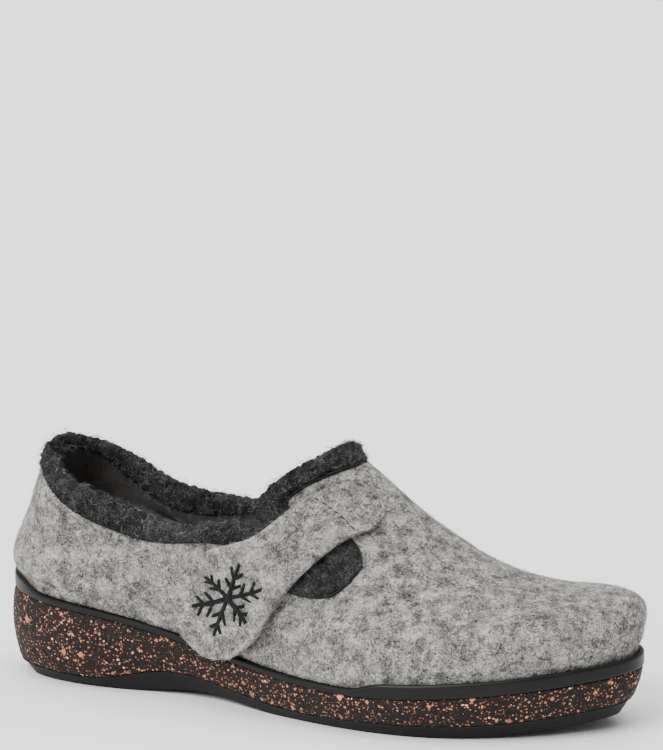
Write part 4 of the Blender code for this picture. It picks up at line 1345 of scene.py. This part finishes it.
class SLIPPER_OT_cork_wedge(bpy.types.Operator):
    """Builds the cork-rubber wedge with its cut, slightly rounded and pitted side"""
    bl_idname = "slipper.cork_wedge"
    bl_label = "Cork Wedge"

    def execute(self, context):
        turn = SOLE_TURNS
        back = smooth_step((0.09 - outline(turn)[:, 0]) / 0.05)
        rings = []
        for share in np.concatenate([[0.0, 0.02, 0.05], np.linspace(0.09, 0.93, 26), [0.97, 1.0]]):
            down = 1.0 - share
            inset = CORK_TOP_INSET + (CORK_FOOT_INSET - CORK_TOP_INSET) * down ** (1.0 + 1.2 * back)
            inset = inset - CORK_BULGE * math.sin(math.pi * share) - heel_out(turn) * down ** 0.7
            inset = inset + CORK_ROUND * (1.0 - min(1.0, min(share, down) / 0.05)) ** 2
            low = sole_ring(turn, inset, lambda x: wedge(x, 2))
            high = sole_ring(turn, inset, lambda x: wedge(x, 1) - RIM_THICKNESS - 0.0001)
            ring = down * low + share * high
            if 0.0 < share < 1.0:
                pits = smooth_step((noise(ring, 0.0024, 61) - 0.45) / 0.2)
                depth = CORK_GRAIN_RELIEF * noise(ring, 0.0011, 62) - CORK_PIT * pits
                outwards = (ring[:, :2] - inset_outline(turn, inset + 0.001)) / 0.001
                ring[:, :2] += depth[:, None] * outwards
            rings.append(ring)
        flat = np.array(rings).reshape(-1, 3)
        sides = outward(flat, grid_faces(len(rings), SOLE_FINE, wrap_cols=True))
        rungs, tips = rungs_across(SOLE_FINE)
        last = len(flat) - SOLE_FINE
        ends = [facing(flat, f, len(f) // 2, False) for f in (rungs, tips)]
        ends += [facing(flat, f + last, len(f) // 2, True) for f in (rungs, tips)]
        colours = context.scene.slipper_colours
        make_piece("cork_wedge", placed(flat), [sides] + ends, [paint(colours, "cork_grain_rubber")],
                   ("midsole",))
        return {"FINISHED"}


class SLIPPER_OT_rim(bpy.types.Operator):
    """Builds the thin rubber rim with its raised toe and heel edge and rounded corners"""
    bl_idname = "slipper.rim"
    bl_label = "Rubber Rim"

    def execute(self, context):
        # section of the rim: inset, height over the rim's flat top, share of the raised edge's height
        base = -RIM_THICKNESS
        section = [
            (0.0120, base, 0.0), (0.0006, base, 0.0), (0.0002, base + 0.00015, 0.0),
            (0.0000, base + 0.0006, 0.0), (0.0000, base + 0.0012, 0.0),
            (0.0000, -0.0003, 0.35), (0.0000, -0.0004, 0.70), (0.0001, -0.00045, 0.92),
            (0.0004, -0.00012, 0.98), (0.0008, 0.0, 1.0), (0.0012, 0.0, 1.0), (0.0016, -0.0002, 0.97),
            (0.0019, -0.0005, 0.85), (0.0021, -0.0002, 0.4), (0.0022, 0.0, 0.0), (0.0120, 0.0, 0.0),
        ]
        rings = [sole_ring(SOLE_TURNS, inset, lambda x: wedge(x, 1) + lift + part * rim_edge(x))
                 for inset, lift, part in section]
        flat = np.array(rings).reshape(-1, 3)
        faces = outward(flat, grid_faces(len(rings), SOLE_FINE, True, True))
        colours = context.scene.slipper_colours
        make_piece("rubber_rim", placed(flat), [faces], [paint(colours, "satin_rim_rubber")],
                   ("rim",))
        return {"FINISHED"}


def tread_grooves(points, depth):
    """Depth of the sole pattern: waved grooves across the heel and the ball, none at the edge or arch."""
    x = points[..., 0]
    y = points[..., 1]
    share = (x + REST_TO_HEEL) / LENGTH
    wave = (x + GROOVE_WAVE * np.sin(y * 2.0 * np.pi / GROOVE_SWING)) / GROOVE_PITCH
    apart = np.abs(wave - np.round(wave)) * GROOVE_PITCH
    line = 1.0 - smooth_step((apart - 0.0007) / 0.0005)
    zone = smooth_step((0.30 - share) / 0.02) + smooth_step((share - 0.44) / 0.02)
    return depth * line * zone


class SLIPPER_OT_outsole(bpy.types.Operator):
    """Builds the rubber outsole with its rounded edge and its grooves"""
    bl_idname = "slipper.outsole"
    bl_label = "Rubber Outsole"

    def execute(self, context):
        sizes = context.scene.slipper_sizes
        top = CORK_FOOT_INSET + 0.0002
        # section of its side: share of the way down, share of the way in
        section = [(0.0, 0.0), (0.02, 0.08), (0.05, 0.22), (0.10, 0.36), (0.25, 0.48), (0.42, 0.60),
                   (0.60, 0.72), (0.78, 0.85), (0.90, 0.93), (0.97, 0.985), (1.0, 1.0)]
        rings = []
        for down, inward in section:
            inset = top + (TREAD_INSET + 0.0002 - top) * inward ** 1.3 - heel_out(SOLE_TURNS)
            rings.append(sole_ring(SOLE_TURNS, inset,
                                   lambda x: (1.0 - down) * (wedge(x, 2) - 0.0001) + down * tread(x)))
        rings = np.array(rings)
        rows = TREAD_ROWS
        foot = placed(plate_rows(rings[-1], rows))
        share = np.linspace(0.0, 1.0, rows)[:, None]
        wide = np.linalg.norm(foot[-1] - foot[0], axis=-1)
        edge = smooth_step((np.minimum(share, 1.0 - share) * wide - 0.0035) / 0.0015)
        ends = smooth_step(wide / 0.03)
        foot[..., 2] += edge * ends * tread_grooves(foot, sizes.groove_depth)
        flat = np.concatenate([placed(rings.reshape(-1, 3)), foot.reshape(-1, 3)])
        plate = grid_faces(rows, foot.shape[1], start=len(rings) * SOLE_FINE)
        plate = facing(flat, plate, len(plate) // 2, False)
        rungs, tips = rungs_across(SOLE_FINE)
        sides = grid_faces(len(rings), SOLE_FINE, wrap_cols=True)
        quads = outward(flat, np.concatenate([sides, rungs]))
        colours = context.scene.slipper_colours
        make_piece("rubber_outsole", flat, [quads, tips, plate], [paint(colours, "moulded_sole_rubber")],
                   ("outsole",))
        return {"FINISHED"}


class SLIPPER_OT_footbed(bpy.types.Operator):
    """Builds the felt footbed, lightly cupped at its edge"""
    bl_idname = "slipper.footbed"
    bl_label = "Felt Footbed"

    def execute(self, context):
        turn = np.arange(BED_AROUND) / BED_AROUND
        # section of its side, from below: inset and height over the rim's flat top
        section = ((0.0070, 0.0), (0.0064, 0.0008), (0.0062, 0.0022), (0.0066, 0.0032), (0.0074, 0.0036))
        rings = [sole_ring(turn, inset, lambda x: wedge(x, 1) + GAP + high) for inset, high in section]
        rings = np.array(rings)
        rows = BED_ROWS
        bed = plate_rows(rings[-1], rows)
        share = np.linspace(0.0, 1.0, rows)[:, None]
        wide = np.linalg.norm(bed[-1] - bed[0], axis=-1)
        apart = np.minimum(share, 1.0 - share) * wide
        bed[..., 2] -= 0.0011 * smooth_step(apart / 0.012)
        bed[1:-1, :, 2] += 0.00012 * noise(bed[1:-1], 0.004, 71)
        flat = np.concatenate([rings.reshape(-1, 3), bed.reshape(-1, 3)])
        plate = grid_faces(rows, bed.shape[1], start=len(rings) * BED_AROUND)
        plate = facing(flat, plate, len(plate) // 2, True)
        rungs, _ = rungs_across(BED_AROUND)
        rungs = facing(flat, rungs, len(rungs) // 2, False)
        sides = outward(flat, grid_faces(len(rings), BED_AROUND, wrap_cols=True))
        colours = context.scene.slipper_colours
        make_piece("felt_footbed", placed(flat), [sides, rungs, plate], [paint(colours, "lining_felt")],
                   ("insole",))
        return {"FINISHED"}


# ---- floor, light and camera ----

class SLIPPER_OT_stage(bpy.types.Operator):
    """Builds the plain pale floor, the soft studio light and the camera"""
    bl_idname = "slipper.stage"
    bl_label = "Stage"

    def execute(self, context):
        self.floor()
        self.light()
        self.camera(context)
        return {"FINISHED"}

    def floor(self):
        """A wide plain floor."""
        reach = 3.0
        mesh = bpy.data.meshes.new("studio_floor")
        corners = [(-reach, -reach, 0.0), (reach, -reach, 0.0), (reach, reach, 0.0), (-reach, reach, 0.0)]
        mesh.from_pydata(corners, [], [(0, 1, 2, 3)])
        material, tree, shader, where = bare_material("pale_paper")
        paper = noise_value(tree, where, 0.05, 2.0, 0.5)
        tree.links.new(ramp(tree, paper, [(0.3, linear("f4f4f4")), (0.7, linear("f7f7f7"))]),
                       shader.inputs["Base Color"])
        shader.inputs["Roughness"].default_value = 0.9
        mesh.materials.append(material)
        floor = bpy.data.objects.new("studio_floor", mesh)
        bpy.context.scene.collection.objects.link(floor)

    def light(self):
        """Two wide soft lights, one over the camera's shoulder and one from above, and a pale sky."""
        lamps = (
            ("key_light", (-0.30, -1.00, 0.85), 40.0, 4.0),
            ("top_light", (-0.05, 0.15, 1.00), 70.0, 3.4),
        )
        for name, place, spread, power in lamps:
            lamp = bpy.data.lights.new(name, "SUN")
            lamp.angle = math.radians(spread)
            lamp.energy = power
            holder = bpy.data.objects.new(name, lamp)
            holder.location = place
            holder.rotation_euler = (-Vector(place)).to_track_quat("-Z", "Y").to_euler()
            bpy.context.scene.collection.objects.link(holder)
        world = bpy.data.worlds.new("pale_studio")
        world.use_nodes = True
        background = world.node_tree.nodes["Background"]
        background.inputs["Color"].default_value = (1.0, 1.0, 1.0, 1.0)
        background.inputs["Strength"].default_value = 0.50
        bpy.context.scene.world = world

    def turned(self, first, second, angle):
        """Two axes square to each other, turned by an angle from the first towards the second."""
        cos, sin = math.cos(angle), math.sin(angle)
        return first * cos + second * sin, second * cos - first * sin

    def camera(self, context):
        """A view from 26 degrees round and 14 up, 1.4 m away; the camera turns so that the target lies off
        the middle of the 663 by 750 picture."""
        width, height, focal = 663.0, 750.0, 3634.0
        target = Vector((0.093, 0.0, 0.050))
        around = math.radians(26.2)
        raised = math.radians(13.7)
        flat = math.cos(raised)
        back = Vector((math.sin(around) * flat, -math.cos(around) * flat, math.sin(raised)))
        ahead = -back
        right = ahead.cross(Vector((0.0, 0.0, 1.0))).normalized()
        up = right.cross(ahead)
        yaw = math.atan((312.3 - width / 2.0) / focal)
        pitch = math.atan((567.1 - height / 2.0) / focal)
        roll = math.radians(-0.5)
        right, ahead = self.turned(right, ahead, yaw)
        ahead, up = self.turned(ahead, up, pitch)
        right, up = self.turned(right, up, roll)
        data = bpy.data.cameras.new("photo_camera")
        data.sensor_width = 36.0
        data.lens = 36.0 * focal / height
        data.clip_end = 20.0
        camera = bpy.data.objects.new("photo_camera", data)
        matrix = Matrix.Identity(4)
        for column, axis in enumerate((right, up, -ahead, target + 1.385 * back)):
            for row in range(3):
                matrix[row][column] = axis[row]
        camera.matrix_world = matrix
        bpy.context.scene.collection.objects.link(camera)
        context.scene.camera = camera


# ---- panel and registration ----

OPERATORS = (
    SLIPPER_OT_felt_upper,
    SLIPPER_OT_binding,
    SLIPPER_OT_strap,
    SLIPPER_OT_snowflake,
    SLIPPER_OT_cork_wedge,
    SLIPPER_OT_rim,
    SLIPPER_OT_outsole,
    SLIPPER_OT_footbed,
    SLIPPER_OT_stage,
)


class SLIPPER_PT_panel(bpy.types.Panel):
    """Lists the slipper's sizes, colours and building steps"""
    bl_idname = "SLIPPER_PT_panel"
    bl_label = "House Slipper"
    bl_space_type = "VIEW_3D"
    bl_region_type = "UI"
    bl_category = "Slipper"

    def draw(self, context):
        for group in (context.scene.slipper_sizes, context.scene.slipper_colours):
            box = self.layout.box()
            for name in group.__annotations__:
                box.prop(group, name)
        for operator in OPERATORS:
            self.layout.operator(operator.bl_idname)


CLASSES = (SlipperSizes, SlipperColours) + OPERATORS + (SLIPPER_PT_panel,)


def register():
    """Adds the classes and the scene's two groups of settings."""
    for cls in CLASSES:
        bpy.utils.register_class(cls)
    bpy.types.Scene.slipper_sizes = bpy.props.PointerProperty(type=SlipperSizes)
    bpy.types.Scene.slipper_colours = bpy.props.PointerProperty(type=SlipperColours)


def unregister():
    """Takes them away again."""
    del bpy.types.Scene.slipper_colours
    del bpy.types.Scene.slipper_sizes
    for cls in reversed(CLASSES):
        bpy.utils.unregister_class(cls)


def main():
    """Registers the add-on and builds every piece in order."""
    register()
    bpy.ops.slipper.felt_upper()
    bpy.ops.slipper.binding()
    bpy.ops.slipper.strap()
    bpy.ops.slipper.snowflake()
    bpy.ops.slipper.cork_wedge()
    bpy.ops.slipper.rim()
    bpy.ops.slipper.outsole()
    bpy.ops.slipper.footbed()
    bpy.ops.slipper.stage()


if __name__ == "__main__":
    main()
